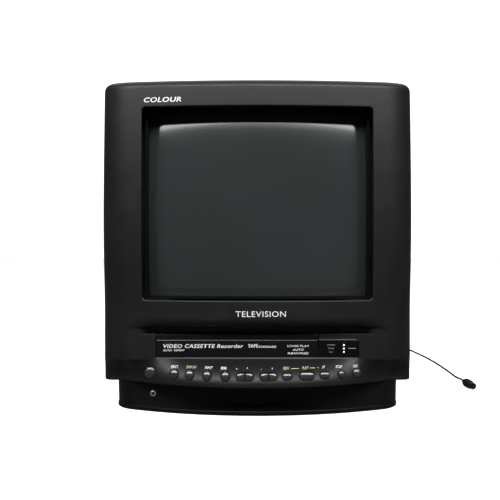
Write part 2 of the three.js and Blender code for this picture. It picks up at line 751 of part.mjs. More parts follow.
// Rubber cup over the anode contact on top of the funnel, leaning with the glass.
const ANODE = [0, 156, 346];
function anodeCap() {
  const cup = [[-5, 0], [-5, 19], [-3, 21], [2, 12], [7, 7], [7, 0]];
  return turnedAlongZ(cup, 0, 0, 20).rotateX(-0.72).translate(...ANODE);
}

function anodeLead() {
  const route = [
    [0, 162.6, 352.2], [12, 169, 356], [40, 180, 350], [72, 192, 325], [95, 204, 280],
    [104, 216, 230], [94, 231, 198], [88, 235, 183],
  ];
  return tube(route, 2.2, 24);
}

// ---------------------------------------------------------------- electronics

const BOARD_Z = 101;
const mainBoard = () => block([-128, 132, BOARD_Z], [128, 306, BOARD_Z + 1.6]);
const ON_BOARD = BOARD_Z + 1.6 + GAP;

function flyback() {
  const pot = block([62, 212, ON_BOARD], [104, 256, ON_BOARD + 62]);
  const tower = turnedAlongZ([[ON_BOARD + 61, 0], [ON_BOARD + 61, 9], [180.2, 7], [180.2, 0]], 88, 235);
  const core = block([76, 200, ON_BOARD + 14], [90, 214, ON_BOARD + 54]);
  return union([solid(pot), solid(tower), solid(core)]);
}

function powerTransformer() {
  const core = block([-108, 232, ON_BOARD], [-70, 268, ON_BOARD + 30]);
  const winding = block([-102, 228, ON_BOARD + 4], [-76, 272, ON_BOARD + 26]);
  return union([solid(core), solid(winding)]);
}

const mainsCapacitor = () =>
  turnedAlongZ([[ON_BOARD, 0], [ON_BOARD, 12], [ON_BOARD + 36, 12], [ON_BOARD + 36, 0]], -46, 240, 16);

function heatsink() {
  const spine = solid(block([-60, 196, ON_BOARD], [0, 199, ON_BOARD + 44]));
  const fins = [];
  for (let i = 0; i < 6; i++) {
    const x = -60 + i * 11.6;
    fins.push(solid(block([x, 198, ON_BOARD], [x + 2, 212, ON_BOARD + 44])));
  }
  return union([spine, ...fins]);
}

const tunerModule = () => block([40, 280, ON_BOARD], [98, 302, ON_BOARD + 12.5]);

function rcaSocket(x, z) {
  const sleeve = [[329, 1.7], [329, 4.8], [336, 4.8], [336, 1.7], [329, 1.7]];
  return solid(turnedAlongY(sleeve, x, z, 12));
}

function avPanel() {
  const plate = solid(block([AV_PANEL[0], 328, 62], [AV_PANEL[1], 331.6, 94]));
  const drill = (x, z, r) =>
    solid(turnedAlongY([[320, 0], [320, r], [345, r], [345, 0]], x, z, 10));
  const jacks = [-46, -24, -2];
  const aerial = [[329, 1.6], [329, 6.6], [338, 6.6], [338, 1.6], [329, 1.6]];
  const holes = [...jacks.map((x) => drill(x, 78, 1.7)), drill(40, 78, 1.6)];
  return cut(union([plate, ...jacks.map((x) => rcaSocket(x, 78)),
    solid(turnedAlongY(aerial, 40, 78, 14))]), holes);
}

// Two-pin inlet: a block with a round well around each pin.
function mainsInlet() {
  const [x, z] = INLET;
  const body = solid(block([x - 13, 322, z - 8], [x + 13, 332.4, z + 8]));
  const sides = [x - 4.9, x + 4.9];
  const rod = (from, to, radius) => [[from, 0], [from, radius], [to, radius], [to, 0]];
  const wells = sides.map((side) => solid(turnedAlongY(rod(324, 340, 3.4), side, z, 16)));
  const pins = sides.map((side) => solid(turnedAlongY(rod(323, 331, 1.2), side, z, 10)));
  return union([cut(body, wells), ...pins]);
}

function speakerBasket() {
  const basket = [
    [-182.6, 24], [-182.6, 28.5], [-180.8, 28.5], [-167.4, 17], [-158, 17], [-158, 0],
    [-165.4, 0], [-165.4, 11], [-179.6, 24], [-182.6, 24],
  ];
  return turnedAlongX(basket, ...SPEAKER, 20);
}
const speakerCone = () =>
  turnedAlongX(
    [[-173.4, 0], [-172.4, 6], [-181.4, 23.2], [-180.4, 23.4], [-169.9, 9], [-167.4, 9], [-167.4, 0]],
    ...SPEAKER, 20,
  );

// ---------------------------------------------------------------- cassette deck

const DECK_FLOOR = 48;
const deckX = (offset) => DECK_X + offset;

// Steel plate with a turned-up edge at each side.
function deckChassis() {
  const plate = block([deckX(-110), 64, DECK_FLOOR - 2], [deckX(110), 298, DECK_FLOOR]);
  const sides = [-110, 108].map((x) =>
    solid(block([deckX(x), 64, DECK_FLOOR - 2], [deckX(x + 2), 240, 88])),
  );
  return union([solid(plate), ...sides]);
}

// The cage that takes the cassette: floor, two channel sides and two top rails.
function cassetteCarriage() {
  const [front, back] = [CARRIAGE_FRONT, CARRIAGE_FRONT + CARRIAGE_LENGTH];
  const [left, right] = [deckX(-SLOT_HALF), deckX(SLOT_HALF)];
  const plates = [
    block([left, front, 65.6], [right, back, 67]),
    block([left, front, 65.6], [left + 1.6, back, 96]),
    block([right - 1.6, front, 65.6], [right, back, 96]),
    block([left, front, 94.6], [left + 24, back, 96]),
    block([right - 24, front, 94.6], [right, back, 96]),
    block([left, back - 12, 94.6], [right, back, 96]),
  ];
  return union(plates.map(solid));
}

function reelTable(x) {
  const profile = [
    [DECK_FLOOR + GAP, 0], [DECK_FLOOR + GAP, 18], [52, 18], [52, 12], [55, 9], [57, 4.5], [63, 4],
    [64.6, 2], [64.6, 0],
  ];
  return turnedAlongZ(profile, x, 176, 18);
}

// The upper drum turns on the fixed lower drum; both lean with the tape path.
function addDrum() {
  const tilted = new THREE.Group();
  tilted.position.set(DRUM[0], DRUM[1], DECK_FLOOR);
  tilted.rotation.x = -DRUM_TILT;
  television.add(tilted);
  const upper = [[24.3, 0], [24.3, 31], [40, 31], [40, 24], [37, 22], [37, 9], [41, 8], [41, 0]];
  const lower = [[4.2, 0], [4.2, 26], [7, 31], [24, 31], [24, 0]];
  addPiece("head_drum", turnedAlongZ(upper, 0, 0, 28), MATERIALS.steel, tilted);
  addPiece("head_drum_base", turnedAlongZ(lower, 0, 0, 28), MATERIALS.steel, tilted);
}

const capstan = () =>
  turnedAlongZ(
    [[DECK_FLOOR + GAP, 0], [DECK_FLOOR + GAP, 20], [54, 20], [54, 1.75], [86, 1.75], [86, 0]],
    deckX(66), 258, 24,
  );
const pinchRoller = () =>
  turnedAlongZ(
    [[55, 0], [55, 2], [62, 2], [62, 7], [80, 7], [80, 2], [83, 2], [83, 0]], deckX(66), 240, 18,
  );
const loadingMotor = () =>
  turnedAlongX([[97, 0], [97, 3], [103, 3], [103, 12], [134, 12], [134, 0]], 190, 62, 20);

function headphoneJack() {
  const profile = [
    [BASE_FACE - 1.2, 1.8], [BASE_FACE - 1.2, 3.3], [BASE_FACE - 0.3, 3.6], [BASE_FACE - 0.3, 2.9],
    [BASE_FACE + 10, 2.9], [BASE_FACE + 10, 1.8], [BASE_FACE - 1.2, 1.8],
  ];
  return turnedAlongY(profile, ...JACK, 16);
}

// ---------------------------------------------------------------- aerial lead

function leadGrommet() {
  const [x, z] = GROMMET;
  const profile = [
    [324, 0], [324, 5.4], [328, 5.4], [328.6, 4], [332.3, 4], [332.6, 5.4], [333.2, 5.4],
    [333.2, 0],
  ];
  return turnedAlongY(profile, x, z, 16);
}

function aerialPlug() {
  const profile = [
    [0, 0], [0, 2.2], [3, 3.2], [8, 5.9], [23, 6], [24, 5.2], [24, 4.7], [34, 4.7], [34, 3.6],
    [29, 3.6], [29, 1.2], [35, 1.2], [36, 0],
  ];
  const outline = profile.map(([along, radius]) => new THREE.Vector2(radius, along));
  const end = new THREE.Vector3(...LEAD_ROUTE[LEAD_ROUTE.length - 1]);
  const turn = new THREE.Quaternion().setFromUnitVectors(new THREE.Vector3(0, 1, 0), PLUG_DIRECTION);
  const start = end.add(PLUG_DIRECTION.clone().multiplyScalar(GAP));
  return outward(new THREE.LatheGeometry(outline, 16))
    .applyQuaternion(turn)
    .translate(...start);
}

// ---------------------------------------------------------------- put together

addPiece("front_cabinet", frontCabinet(), MATERIALS.cabinet);
addPiece("rear_cover", rearCover(), MATERIALS.cabinet);
addPiece("base_tray", baseTray(), MATERIALS.base);
for (const [name, [x, y]] of Object.entries(FEET)) {
  addPiece(name, foot(x, y), MATERIALS.rubber);
}
addPiece("cassette_flap", cassetteFlap(), MATERIALS.panel);
addPiece("indicator_window", indicatorWindow(), MATERIALS.panel);
for (const key of KEYS) {
  addPiece(key.name, keySolid(key), MATERIALS.key);
}
addPiece("key_board", keyBoard(), MATERIALS.board);
addPiece("power_switch", powerSwitch(), MATERIALS.blackPart);
addPiece("headphone_jack", headphoneJack(), MATERIALS.chrome);

addPiece("tube_panel", panel(), MATERIALS.glass);
addPiece("tube_funnel", funnel(), MATERIALS.bareGlass);
addPiece("shadow_mask", shadowMask(), MATERIALS.steel);
addPiece("tension_band", tensionBand(), MATERIALS.steel);
addPiece("electron_gun", turnedAlongY(ELECTRON_GUN, 0, TUBE_AXIS, 16), MATERIALS.steel);
addPiece("deflection_yoke", turnedAlongY(YOKE, 0, TUBE_AXIS, 20), MATERIALS.copper);
addPiece("neck_magnet_rings", turnedAlongY(NECK_RINGS, 0, TUBE_AXIS, 20), MATERIALS.magnet);
addPiece("neck_board", neckBoard(), MATERIALS.board);
addPiece("degaussing_coil", degaussingCoil(), MATERIALS.blackPart);
addPiece("anode_cap", anodeCap(), MATERIALS.rubber);
addPiece("anode_lead", anodeLead(), MATERIALS.rubber);

addPiece("main_board", mainBoard(), MATERIALS.board);
addPiece("flyback_transformer", flyback(), MATERIALS.blackPart);
addPiece("power_transformer", powerTransformer(), MATERIALS.blackPart);
addPiece("mains_capacitor", mainsCapacitor(), MATERIALS.blackPart);
addPiece("heatsink", heatsink(), MATERIALS.steel);
addPiece("tuner_module", tunerModule(), MATERIALS.steel);
addPiece("av_socket_panel", avPanel(), MATERIALS.blackPart);
addPiece("mains_inlet", mainsInlet(), MATERIALS.blackPart);
addPiece("speaker_basket", speakerBasket(), MATERIALS.magnet);
addPiece("speaker_cone", speakerCone(), MATERIALS.paper);

addPiece("deck_chassis", deckChassis(), MATERIALS.steel);
addPiece("cassette_carriage", cassetteCarriage(), MATERIALS.steel);
addPiece("supply_reel_table", reelTable(deckX(-REEL_SPACING / 2)), MATERIALS.blackPart);
addPiece("takeup_reel_table", reelTable(deckX(REEL_SPACING / 2)), MATERIALS.blackPart);
addDrum();
addPiece("capstan", capstan(), MATERIALS.steel);
addPiece("pinch_roller", pinchRoller(), MATERIALS.rubber);
addPiece("loading_motor", loadingMotor(), MATERIALS.steel);

addPiece("lead_grommet", leadGrommet(), MATERIALS.rubber);
addPiece("aerial_lead", tube(LEAD_ROUTE, LEAD_RADIUS, 72), MATERIALS.rubber);
addPiece("aerial_plug", aerialPlug(), MATERIALS.rubber);

export default root;
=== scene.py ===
"""Looks of a 14-inch television with a built-in video cassette deck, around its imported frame."""

import bpy
import bmesh
import math
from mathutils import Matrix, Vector


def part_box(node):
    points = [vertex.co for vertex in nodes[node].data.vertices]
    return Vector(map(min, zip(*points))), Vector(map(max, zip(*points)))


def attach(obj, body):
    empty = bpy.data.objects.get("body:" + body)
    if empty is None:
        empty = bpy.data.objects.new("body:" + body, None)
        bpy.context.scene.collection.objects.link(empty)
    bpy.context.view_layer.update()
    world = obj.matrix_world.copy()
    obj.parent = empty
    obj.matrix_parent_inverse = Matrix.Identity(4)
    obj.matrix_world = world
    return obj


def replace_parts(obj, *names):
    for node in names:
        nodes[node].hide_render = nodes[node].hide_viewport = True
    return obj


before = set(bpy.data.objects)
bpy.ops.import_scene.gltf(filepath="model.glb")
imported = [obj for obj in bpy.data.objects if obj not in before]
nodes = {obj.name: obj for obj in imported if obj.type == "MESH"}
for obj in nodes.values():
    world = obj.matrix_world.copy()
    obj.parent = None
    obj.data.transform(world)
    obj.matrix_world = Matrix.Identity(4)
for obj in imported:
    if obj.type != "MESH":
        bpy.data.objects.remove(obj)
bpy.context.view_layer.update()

MM = 0.001
SHIFT = -188.95  # y of depth 0; shapes below are given as [x, depth, z] in millimetres


def add_to_scene(thing):
    bpy.context.scene.collection.objects.link(thing)
    return thing


# ---------------------------------------------------------------- camera

CAMERA_DISTANCE = 770  # in front of depth 0
CAMERA_HEIGHT = 210.2
SENSOR_WIDTH = 36
FOCAL_LENGTH = 47.8
LENS_SHIFT = (-0.0148, -0.024)
CLIP = (0.05, 30)  # metres


def add_camera():
    data = bpy.data.cameras.new("camera")
    data.sensor_width = SENSOR_WIDTH
    data.lens = FOCAL_LENGTH
    data.clip_start, data.clip_end = CLIP
    data.shift_x, data.shift_y = LENS_SHIFT
    camera = bpy.data.objects.new("camera", data)
    camera.location = (0, (SHIFT - CAMERA_DISTANCE) * MM, CAMERA_HEIGHT * MM)
    camera.rotation_euler = (math.pi / 2, 0, 0)
    add_to_scene(camera)
    bpy.context.scene.camera = camera


add_camera()

# ---------------------------------------------------------------- materials


class Nodes:
    """Short way to write a material's node tree."""

    def __init__(self, name):
        self.material = bpy.data.materials.new(name)
        self.material.use_nodes = True
        self.tree = self.material.node_tree
        self.shader = self.tree.nodes["Principled BSDF"]
        coords = self.tree.nodes.new("ShaderNodeTexCoord")
        self.position = coords.outputs["Object"]

    def link(self, source, target):
        self.tree.links.new(source, target)

    def noise(self, scale, detail=3, stretch=None):
        """Noise fixed to the object, stretched along some axes if asked."""
        node = self.tree.nodes.new("ShaderNodeTexNoise")
        node.inputs["Scale"].default_value = scale
        node.inputs["Detail"].default_value = detail
        source = self.position
        if stretch:
            mapping = self.tree.nodes.new("ShaderNodeMapping")
            mapping.inputs["Scale"].default_value = stretch
            self.link(source, mapping.inputs["Vector"])
            source = mapping.outputs["Vector"]
        self.link(source, node.inputs["Vector"])
        return node.outputs["Fac"]

    def ramp(self, source, low, high, start=0.35, end=0.65):
        """Turns a value into a colour between two colours."""
        node = self.tree.nodes.new("ShaderNodeValToRGB")
        node.color_ramp.elements[0].position = start
        node.color_ramp.elements[1].position = end
        node.color_ramp.elements[0].color = low
        node.color_ramp.elements[1].color = high
        self.link(source, node.inputs["Fac"])
        return node.outputs["Color"]

    def span(self, source, low, high):
        """Spreads the middle of a noise over a range of values."""
        node = self.tree.nodes.new("ShaderNodeMapRange")
        node.inputs["From Min"].default_value = 0.3
        node.inputs["From Max"].default_value = 0.7
        node.inputs["To Min"].default_value = low
        node.inputs["To Max"].default_value = high
        self.link(source, node.inputs["Value"])
        return node.outputs["Result"]

    def bump(self, source, strength, distance):
        node = self.tree.nodes.new("ShaderNodeBump")
        node.inputs["Strength"].default_value = strength
        node.inputs["Distance"].default_value = distance
        self.link(source, node.inputs["Height"])
        self.link(node.outputs["Normal"], self.shader.inputs["Normal"])

    def worn_edges(self, color, worn, amount):
        """Lightens convex edges where handling has polished them."""
        geometry = self.tree.nodes.new("ShaderNodeNewGeometry")
        edge = self.ramp(geometry.outputs["Pointiness"], (0, 0, 0, 1), (1, 1, 1, 1), 0.52, 0.62)
        patchy = self.noise(90, 4)
        both = self.tree.nodes.new("ShaderNodeMath")
        both.operation = "MULTIPLY"
        self.link(edge, both.inputs[0])
        self.link(patchy, both.inputs[1])
        share = self.tree.nodes.new("ShaderNodeMath")
        share.operation = "MULTIPLY"
        share.inputs[1].default_value = amount
        self.link(both.outputs[0], share.inputs[0])
        mix = self.tree.nodes.new("ShaderNodeMix")
        mix.data_type = "RGBA"
        mix.inputs["B"].default_value = worn
        self.link(share.outputs[0], mix.inputs["Factor"])
        self.link(color, mix.inputs["A"])
        return mix.outputs["Result"]


def scaled(color, factor):
    """A colour made darker or lighter."""
    return (*[min(1, c * factor) for c in color[:3]], 1)


def plastic(name, color, roughness, grain=0.25, specular=0.5, coat=0.0, wear=0.35):
    """Moulded plastic: spark-eroded grain, faint mottling and slightly polished edges."""
    made = Nodes(name)
    mottled = made.ramp(made.noise(14, 5), scaled(color, 0.82), scaled(color, 1.2))
    color_out = made.worn_edges(mottled, scaled(color, 2.2), wear) if wear else mottled
    made.link(color_out, made.shader.inputs["Base Color"])
    made.link(
        made.span(made.noise(45, 4), roughness * 0.88, roughness * 1.12),
        made.shader.inputs["Roughness"],
    )
    made.shader.inputs["Specular IOR Level"].default_value = specular
    made.shader.inputs["Coat Weight"].default_value = coat
    made.shader.inputs["Coat Roughness"].default_value = 0.06
    if grain:
        made.bump(made.noise(1900, 2), grain, 0.00006)
    return made.material


def metal(name, color, roughness, brushed=None):
    """Bare metal with faint brushing or rolling marks."""
    made = Nodes(name)
    marks = made.noise(900 if brushed else 60, 3, brushed)
    made.link(made.ramp(marks, scaled(color, 0.8), scaled(color, 1.1)),
              made.shader.inputs["Base Color"])
    made.link(made.span(marks, roughness * 0.75, roughness * 1.3),
              made.shader.inputs["Roughness"])
    made.shader.inputs["Metallic"].default_value = 1
    made.bump(marks, 0.15, 0.00004)
    return made.material


def glowing(name, color, strength):
    """A lit lamp under a smooth cover."""
    made = Nodes(name)
    made.shader.inputs["Base Color"].default_value = color
    made.shader.inputs["Emission Color"].default_value = color
    made.shader.inputs["Emission Strength"].default_value = strength
    made.shader.inputs["Roughness"].default_value = 0.3
    return made.material


def printed(name, color):
    """Screen-printed ink, a little uneven."""
    made = Nodes(name)
    made.link(made.ramp(made.noise(700, 2), scaled(color, 0.86), color),
              made.shader.inputs["Base Color"])
    made.shader.inputs["Roughness"].default_value = 0.55
    return made.material


def tube_glass():
    """Dark screen: tinted glass over grey phosphor, very smooth, faintly uneven."""
    made = Nodes("screen_glass")
    tint = made.ramp(made.noise(3.2, 3), (0.021, 0.0248, 0.0245, 1), (0.0278, 0.0308, 0.0315, 1))
    made.link(tint, made.shader.inputs["Base Color"])
    made.link(made.span(made.noise(8, 3), 0.10, 0.15), made.shader.inputs["Roughness"])
    made.shader.inputs["Specular IOR Level"].default_value = 0.5
    made.shader.inputs["Coat Weight"].default_value = 0.3
    made.shader.inputs["Coat Roughness"].default_value = 0.05
    return made.material


def circuit_board():
    """Brown laminate with a fine pattern of solder points."""
    made = Nodes("circuit_board")
    made.link(made.ramp(made.noise(160, 2), (0.16, 0.10, 0.03, 1), (0.23, 0.16, 0.06, 1)),
              made.shader.inputs["Base Color"])
    made.shader.inputs["Roughness"].default_value = 0.5
    made.bump(made.noise(420, 2), 0.4, 0.0002)
    return made.material


def winding():
    """Enamelled copper wire laid close round the tube's neck."""
    made = Nodes("copper_winding")
    strands = made.noise(520, 2, (1, 9, 1))
    made.link(made.ramp(strands, (0.16, 0.045, 0.015, 1), (0.45, 0.17, 0.07, 1)),
              made.shader.inputs["Base Color"])
    made.shader.inputs["Metallic"].default_value = 0.6
    made.shader.inputs["Roughness"].default_value = 0.38
    made.bump(strands, 0.8, 0.0004)
    return made.material


MAT = {
    "cabinet": plastic("cabinet_plastic", (0.0065, 0.0064, 0.0072, 1), 0.43, grain=0.3,
                       specular=0.33, wear=0.15),
    "cover": plastic("cover_plastic", (0.0105, 0.0105, 0.0112, 1), 0.5, grain=0.6),
    "base": plastic("base_plastic", (0.0022, 0.0022, 0.0026, 1), 0.4, grain=0.2, specular=0.25,
                    wear=0.2),
    # painted shade: darker, duller plastic for the walls of the screen opening, where the recess
    # lies in shade
    "opening_shade": plastic("opening_painted_shade", (0.0012, 0.0012, 0.0014, 1), 0.6, grain=0.3, specular=0.12,
                     wear=0),
    "panel": plastic("panel_plastic", (0.0032, 0.0032, 0.0036, 1), 0.3, grain=0.05, specular=0.3,
                     wear=0.2),
    # bright trim colour, also used as a painted highlight along the ledge over the key strip
    "trim_and_highlight": plastic("trim_and_ledge_highlight", (0.11, 0.11, 0.105, 1), 0.35, grain=0.1, wear=0),
    "window": plastic("window_plastic", (0.002, 0.002, 0.0024, 1), 0.2, grain=0, specular=0.3,
                      wear=0),
    "key": plastic("key_plastic", (0.018, 0.018, 0.019, 1), 0.32, grain=0.03, specular=0.8,
                   coat=1.0, wear=0.2),
    "part": plastic("moulded_part", (0.009, 0.009, 0.01, 1), 0.45, grain=0.2, wear=0.3),
    "rubber": plastic("soft_rubber", (0.004, 0.004, 0.004, 1), 0.75, grain=0.5, specular=0.25,
                      wear=0),
    "cable": plastic("cable_sheath", (0.003, 0.003, 0.0032, 1), 0.6, grain=0.1, specular=0.2,
                     wear=0),
    "paper": plastic("pressed_paper", (0.02, 0.019, 0.017, 1), 0.9, grain=0.9, wear=0),
    "steel": metal("zinced_steel", (0.55, 0.55, 0.53), 0.35, (1, 14, 1)),
    "aluminium": metal("aluminium", (0.72, 0.72, 0.73), 0.32, (12, 1, 1)),
    "chrome": metal("plated_ring", (0.9, 0.9, 0.92), 0.42),
    "gold": metal("contact_metal", (0.09, 0.085, 0.08), 0.35),
    "ferrite": plastic("ferrite", (0.035, 0.034, 0.036, 1), 0.6, grain=0.7),
    "board": circuit_board(),
    "winding": winding(),
    "screen": tube_glass(),
    "bare_glass": plastic("coated_glass", (0.03, 0.032, 0.033, 1), 0.25, grain=0.1, wear=0),
    "ink": printed("white_print", (0.85, 0.85, 0.84, 1)),
    "ink_dim": printed("grey_print", (0.30, 0.30, 0.29, 1)),
    "ink_warm": printed("warm_print", (0.62, 0.60, 0.30, 1)),
    "lamp": glowing("lamp_dot", (0.9, 0.92, 0.95, 1), 0.6),
}

# ---------------------------------------------------------------- mesh helpers


def place(x, depth, z):
    """A point of the part given by its depth, in metres in the row frame."""
    return Vector((x * MM, (depth + SHIFT) * MM, z * MM))


def shade_smoothly(mesh, degrees):
    """Smooth shading, with edges sharper than an angle left crisp."""
    mesh.shade_smooth()
    mesh.set_sharp_from_angle(angle=math.radians(degrees))


def make_object(name, points, faces, material, smooth=32):
    """A mesh object from points in [x, depth, z] millimetres."""
    mesh = bpy.data.meshes.new(name)
    mesh.from_pydata([place(*p) for p in points], [], faces)
    mesh.materials.append(material)
    bm = bmesh.new()
    bm.from_mesh(mesh)
    bmesh.ops.recalc_face_normals(bm, faces=bm.faces)
    bm.to_mesh(mesh)
    bm.free()
    shade_smoothly(mesh, smooth)
    return add_to_scene(bpy.data.objects.new(name, mesh))


def loft(rings):
    """Points and faces of a closed body through rings of equal length."""
    count = len(rings[0])
    points = [p for ring in rings for p in ring]
    faces = []
    for i in range(len(rings) - 1):
        for j in range(count):
            k = (j + 1) % count
            faces.append((i * count + j, i * count + k, (i + 1) * count + k, (i + 1) * count + j))
    faces.append(tuple(reversed(range(count))))
    faces.append(tuple(range((len(rings) - 1) * count, len(rings) * count)))
    return points, faces


def box_faces(low, high):
    """Points and faces of a box between two corners."""
    (x0, y0, z0), (x1, y1, z1) = low, high
    ring = [(x0, y0), (x1, y0), (x1, y1), (x0, y1)]
    return loft([[(x, y, z) for x, y in ring] for z in (z0, z1)])


def merged(shapes):
    """Several points-and-faces shapes as one."""
    points, faces = [], []
    for shape_points, shape_faces in shapes:
        offset = len(points)
        points += shape_points
        faces += [tuple(i + offset for i in face) for face in shape_faces]
    return points, faces


def boolean(target, operation, shape):
    """Adds or takes away a shape, and keeps only the result's mesh."""
    tool = make_object("tool", *shape, target.data.materials[0])
    modifier = target.modifiers.new("boolean", "BOOLEAN")
    modifier.operation = operation
    modifier.solver = "EXACT"
    modifier.object = tool
    apply_modifiers(target)
    bpy.data.objects.remove(tool)


def apply_modifiers(target):
    """Puts the modified mesh in the place of the object's own."""
    graph = bpy.context.evaluated_depsgraph_get()
    made = bpy.data.meshes.new_from_object(target.evaluated_get(graph))
    target.modifiers.clear()
    old = target.data
    target.data = made
    bpy.data.meshes.remove(old)


def smoothstep(low, high, value):
    """Goes smoothly from 0 to 1 between two values."""
    t = min(1, max(0, (value - low) / (high - low)))
    return t * t * (3 - 2 * t)


def quarter_turn(steps):
    """Angles from 0 to a right angle."""
    return [i / steps * math.pi / 2 for i in range(steps + 1)]


def fallen(radius, x):
    """How far an arc has fallen back at a distance from its middle."""
    return radius - math.sqrt(radius * radius - x * x)


def rounded_rectangle(half_x, half_z, corner, cx=0, cz=0, per_corner=8, per_side=1):
    """[x, z] points round a rectangle with round corners, anticlockwise from the front."""
    radius = min(corner, half_x - 0.01, half_z - 0.01)
    side_ends = [(cx + half_x, cz + half_z - radius), (cx - half_x + radius, cz + half_z),
                 (cx - half_x, cz - half_z + radius), (cx + half_x - radius, cz - half_z)]
    points = []
    for quarter, (sx, sz) in enumerate([(1, -1), (1, 1), (-1, 1), (-1, -1)]):
        mid_x, mid_z = cx + sx * (half_x - radius), cz + sz * (half_z - radius)
        for i in range(per_corner + 1):
            angle = (quarter - 1) * math.pi / 2 + i / per_corner * math.pi / 2
            points.append((mid_x + radius * math.cos(angle), mid_z + radius * math.sin(angle)))
        start, end = points[-1], side_ends[quarter]
        for i in range(1, per_side):
            t = i / per_side
            points.append((start[0] + (end[0] - start[0]) * t,
                           start[1] + (end[1] - start[1]) * t))
    return points


AXIS_RADIUS = 0.001  # stands for zero where a turned shape meets its axis


def turned(profile, segments=32):
    """Body of revolution about +depth; the profile is [depth, radius] pairs from axis to axis."""
    rings = []
    for depth, radius in profile:
        r = max(radius, AXIS_RADIUS)
        angles = [2 * math.pi * i / segments for i in range(segments)]
        rings.append([(r * math.cos(a), depth, r * math.sin(a)) for a in angles])
    return loft(rings)


def moved(shape, x=0, depth=0, z=0):
    """A points-and-faces shape carried to another place."""
    points, faces = shape
    return [(p[0] + x, p[1] + depth, p[2] + z) for p in points], faces


# ---------------------------------------------------------------- cabinet surface

CABINET_TOP = 396.5
CABINET_BOTTOM = 36
STRIP_TOP = 65.5  # upper edge of the strip that carries the keys
FLAP_TOP = 95.6
BROW_BOTTOM = 103
BROW_START = 116  # height where the brow over the flap starts to curve under
TUBE_AXIS = 249
SEAM = 118  # depth where the front cabinet meets the rear cover
SEAM_OVERRUN = 20  # how far the hollow is cut past the seam
FASCIA = 26  # depth of the flat face round the flap
WALL = 3

TOP_EDGE_RADIUS = 9
BOTTOM_EDGE_RADIUS = 2
SIDE_EDGE_RADIUS = 8
HALF_WIDTH = 187.9
TOP_NARROWING = 1.6
NARROWING_HEIGHTS = (100, 395)

SURROUND_RADII = (700, 1100)  # seen from above, at the brow and from mid-height up
SURROUND_HEIGHTS = (116, 250)
SIDE_ROLL_START = 150
SIDE_ROLL_WIDTH = 41.7
SIDE_ROLL_DEPTH = 26
TOP_LEAN = 5  # how far the front has leant back at the reach above the tube's axis
TOP_LEAN_REACH = 146

FASCIA_BLEND = (115, 160)  # where the fascia passes over into the surround's sides
FASCIA_ENDS = (124, 140)  # where the steps above and below the flap fade out
FASCIA_EDGE = 0.8
BROW_RECESS = 9

STRIP_RADIUS = 305
STRIP_NOSE = -4
STRIP_ENDS = 43
STRIP_LEAN = 22
STRIP_FOOT = 40  # height where the strip's curve reaches its foremost line
STRIP_CURVE = 1.8
STRIP_EDGE = 1.2
NO_EDGE = 0.01  # a rounding smaller than this is left out


def surround_at(x, z):
    """The screen surround: nearly flat across, falling away faster towards its sides."""
    low, high = SURROUND_RADII
    radius = low + (high - low) * smoothstep(*SURROUND_HEIGHTS, z)
    t = min(1, max(0, abs(x) - SIDE_ROLL_START) / SIDE_ROLL_WIDTH)
    return fallen(radius, x) + SIDE_ROLL_DEPTH * (1 - math.sqrt(1 - t * t))


def half_width_at(z):
    """Half the cabinet's width, a little less towards the top."""
    return HALF_WIDTH - TOP_NARROWING * smoothstep(*NARROWING_HEIGHTS, z)


def fascia_at(x):
    """The face round the flap: flat in the middle, joining the surround at its sides."""
    share = smoothstep(*FASCIA_BLEND, abs(x))
    return FASCIA + (surround_at(x, BROW_START) - FASCIA) * share


def strip_at(x):
    """The foremost line of the key strip."""
    return min(fallen(STRIP_RADIUS, x) + STRIP_NOSE, STRIP_ENDS)


def rolled(radius, into):
    """How far a rounded edge has fallen back after going into it."""
    into = min(radius, max(0, into))
    return radius - math.sqrt(radius * radius - into * into)


def front_at(x, z):
    """Depth of the front surface at a point of the front view."""
    if z <= STRIP_TOP:
        top = min(strip_at(x) + STRIP_LEAN, fascia_at(x))
        along = min(1, (STRIP_TOP - z) / (STRIP_TOP - STRIP_FOOT))
        depth = top + (strip_at(x) - top) * (1 - (1 - along) ** STRIP_CURVE)
        edge = min(STRIP_EDGE, fascia_at(x) - top)
        return depth + rolled(edge, z - (STRIP_TOP - edge)) if edge > NO_EDGE else depth
    over_flap = 1 - smoothstep(*FASCIA_ENDS, abs(x))
    if z <= FLAP_TOP:
        edge = FASCIA_EDGE * over_flap
        return fascia_at(x) + (rolled(edge, z - (FLAP_TOP - edge)) if edge > NO_EDGE else 0)
    if z < BROW_BOTTOM:
        return fascia_at(x) + BROW_RECESS * over_flap
    surround = surround_at(x, z)
    if z < BROW_START:
        roll = (BROW_START - z) / (BROW_START - BROW_BOTTOM)
        return surround + (fascia_at(x) - surround) * (1 - math.sqrt(1 - roll * roll))
    return surround + TOP_LEAN * max(0, (z - TUBE_AXIS) / TOP_LEAN_REACH) ** 2


def cabinet_level(z, inset, depth_at, stations):
    """One level of the cabinet from above: the front from left to right, then the back."""
    drop = rolled(TOP_EDGE_RADIUS, z - (CABINET_TOP - inset - TOP_EDGE_RADIUS))
    tuck = rolled(BOTTOM_EDGE_RADIUS, CABINET_BOTTOM + inset + BOTTOM_EDGE_RADIUS - z)
    half = half_width_at(z) - inset - drop - tuck
    ring = []
    for j in range(stations + 1):
        x = half * math.sin((2 * j / stations - 1) * math.pi / 2)
        corner = rolled(SIDE_EDGE_RADIUS, abs(x) - (half - SIDE_EDGE_RADIUS))
        ring.append((x, depth_at(x, z) + drop + tuck + corner, z))
    back = SEAM + SEAM_OVERRUN if inset else SEAM
    return ring + [(half, back, z), (-half, back, z)]


def spread(start, end, step):
    """Evenly spaced values from start to end, about a step apart."""
    count = max(1, round((end - start) / step))
    return [start + (end - start) * i / count for i in range(count + 1)]


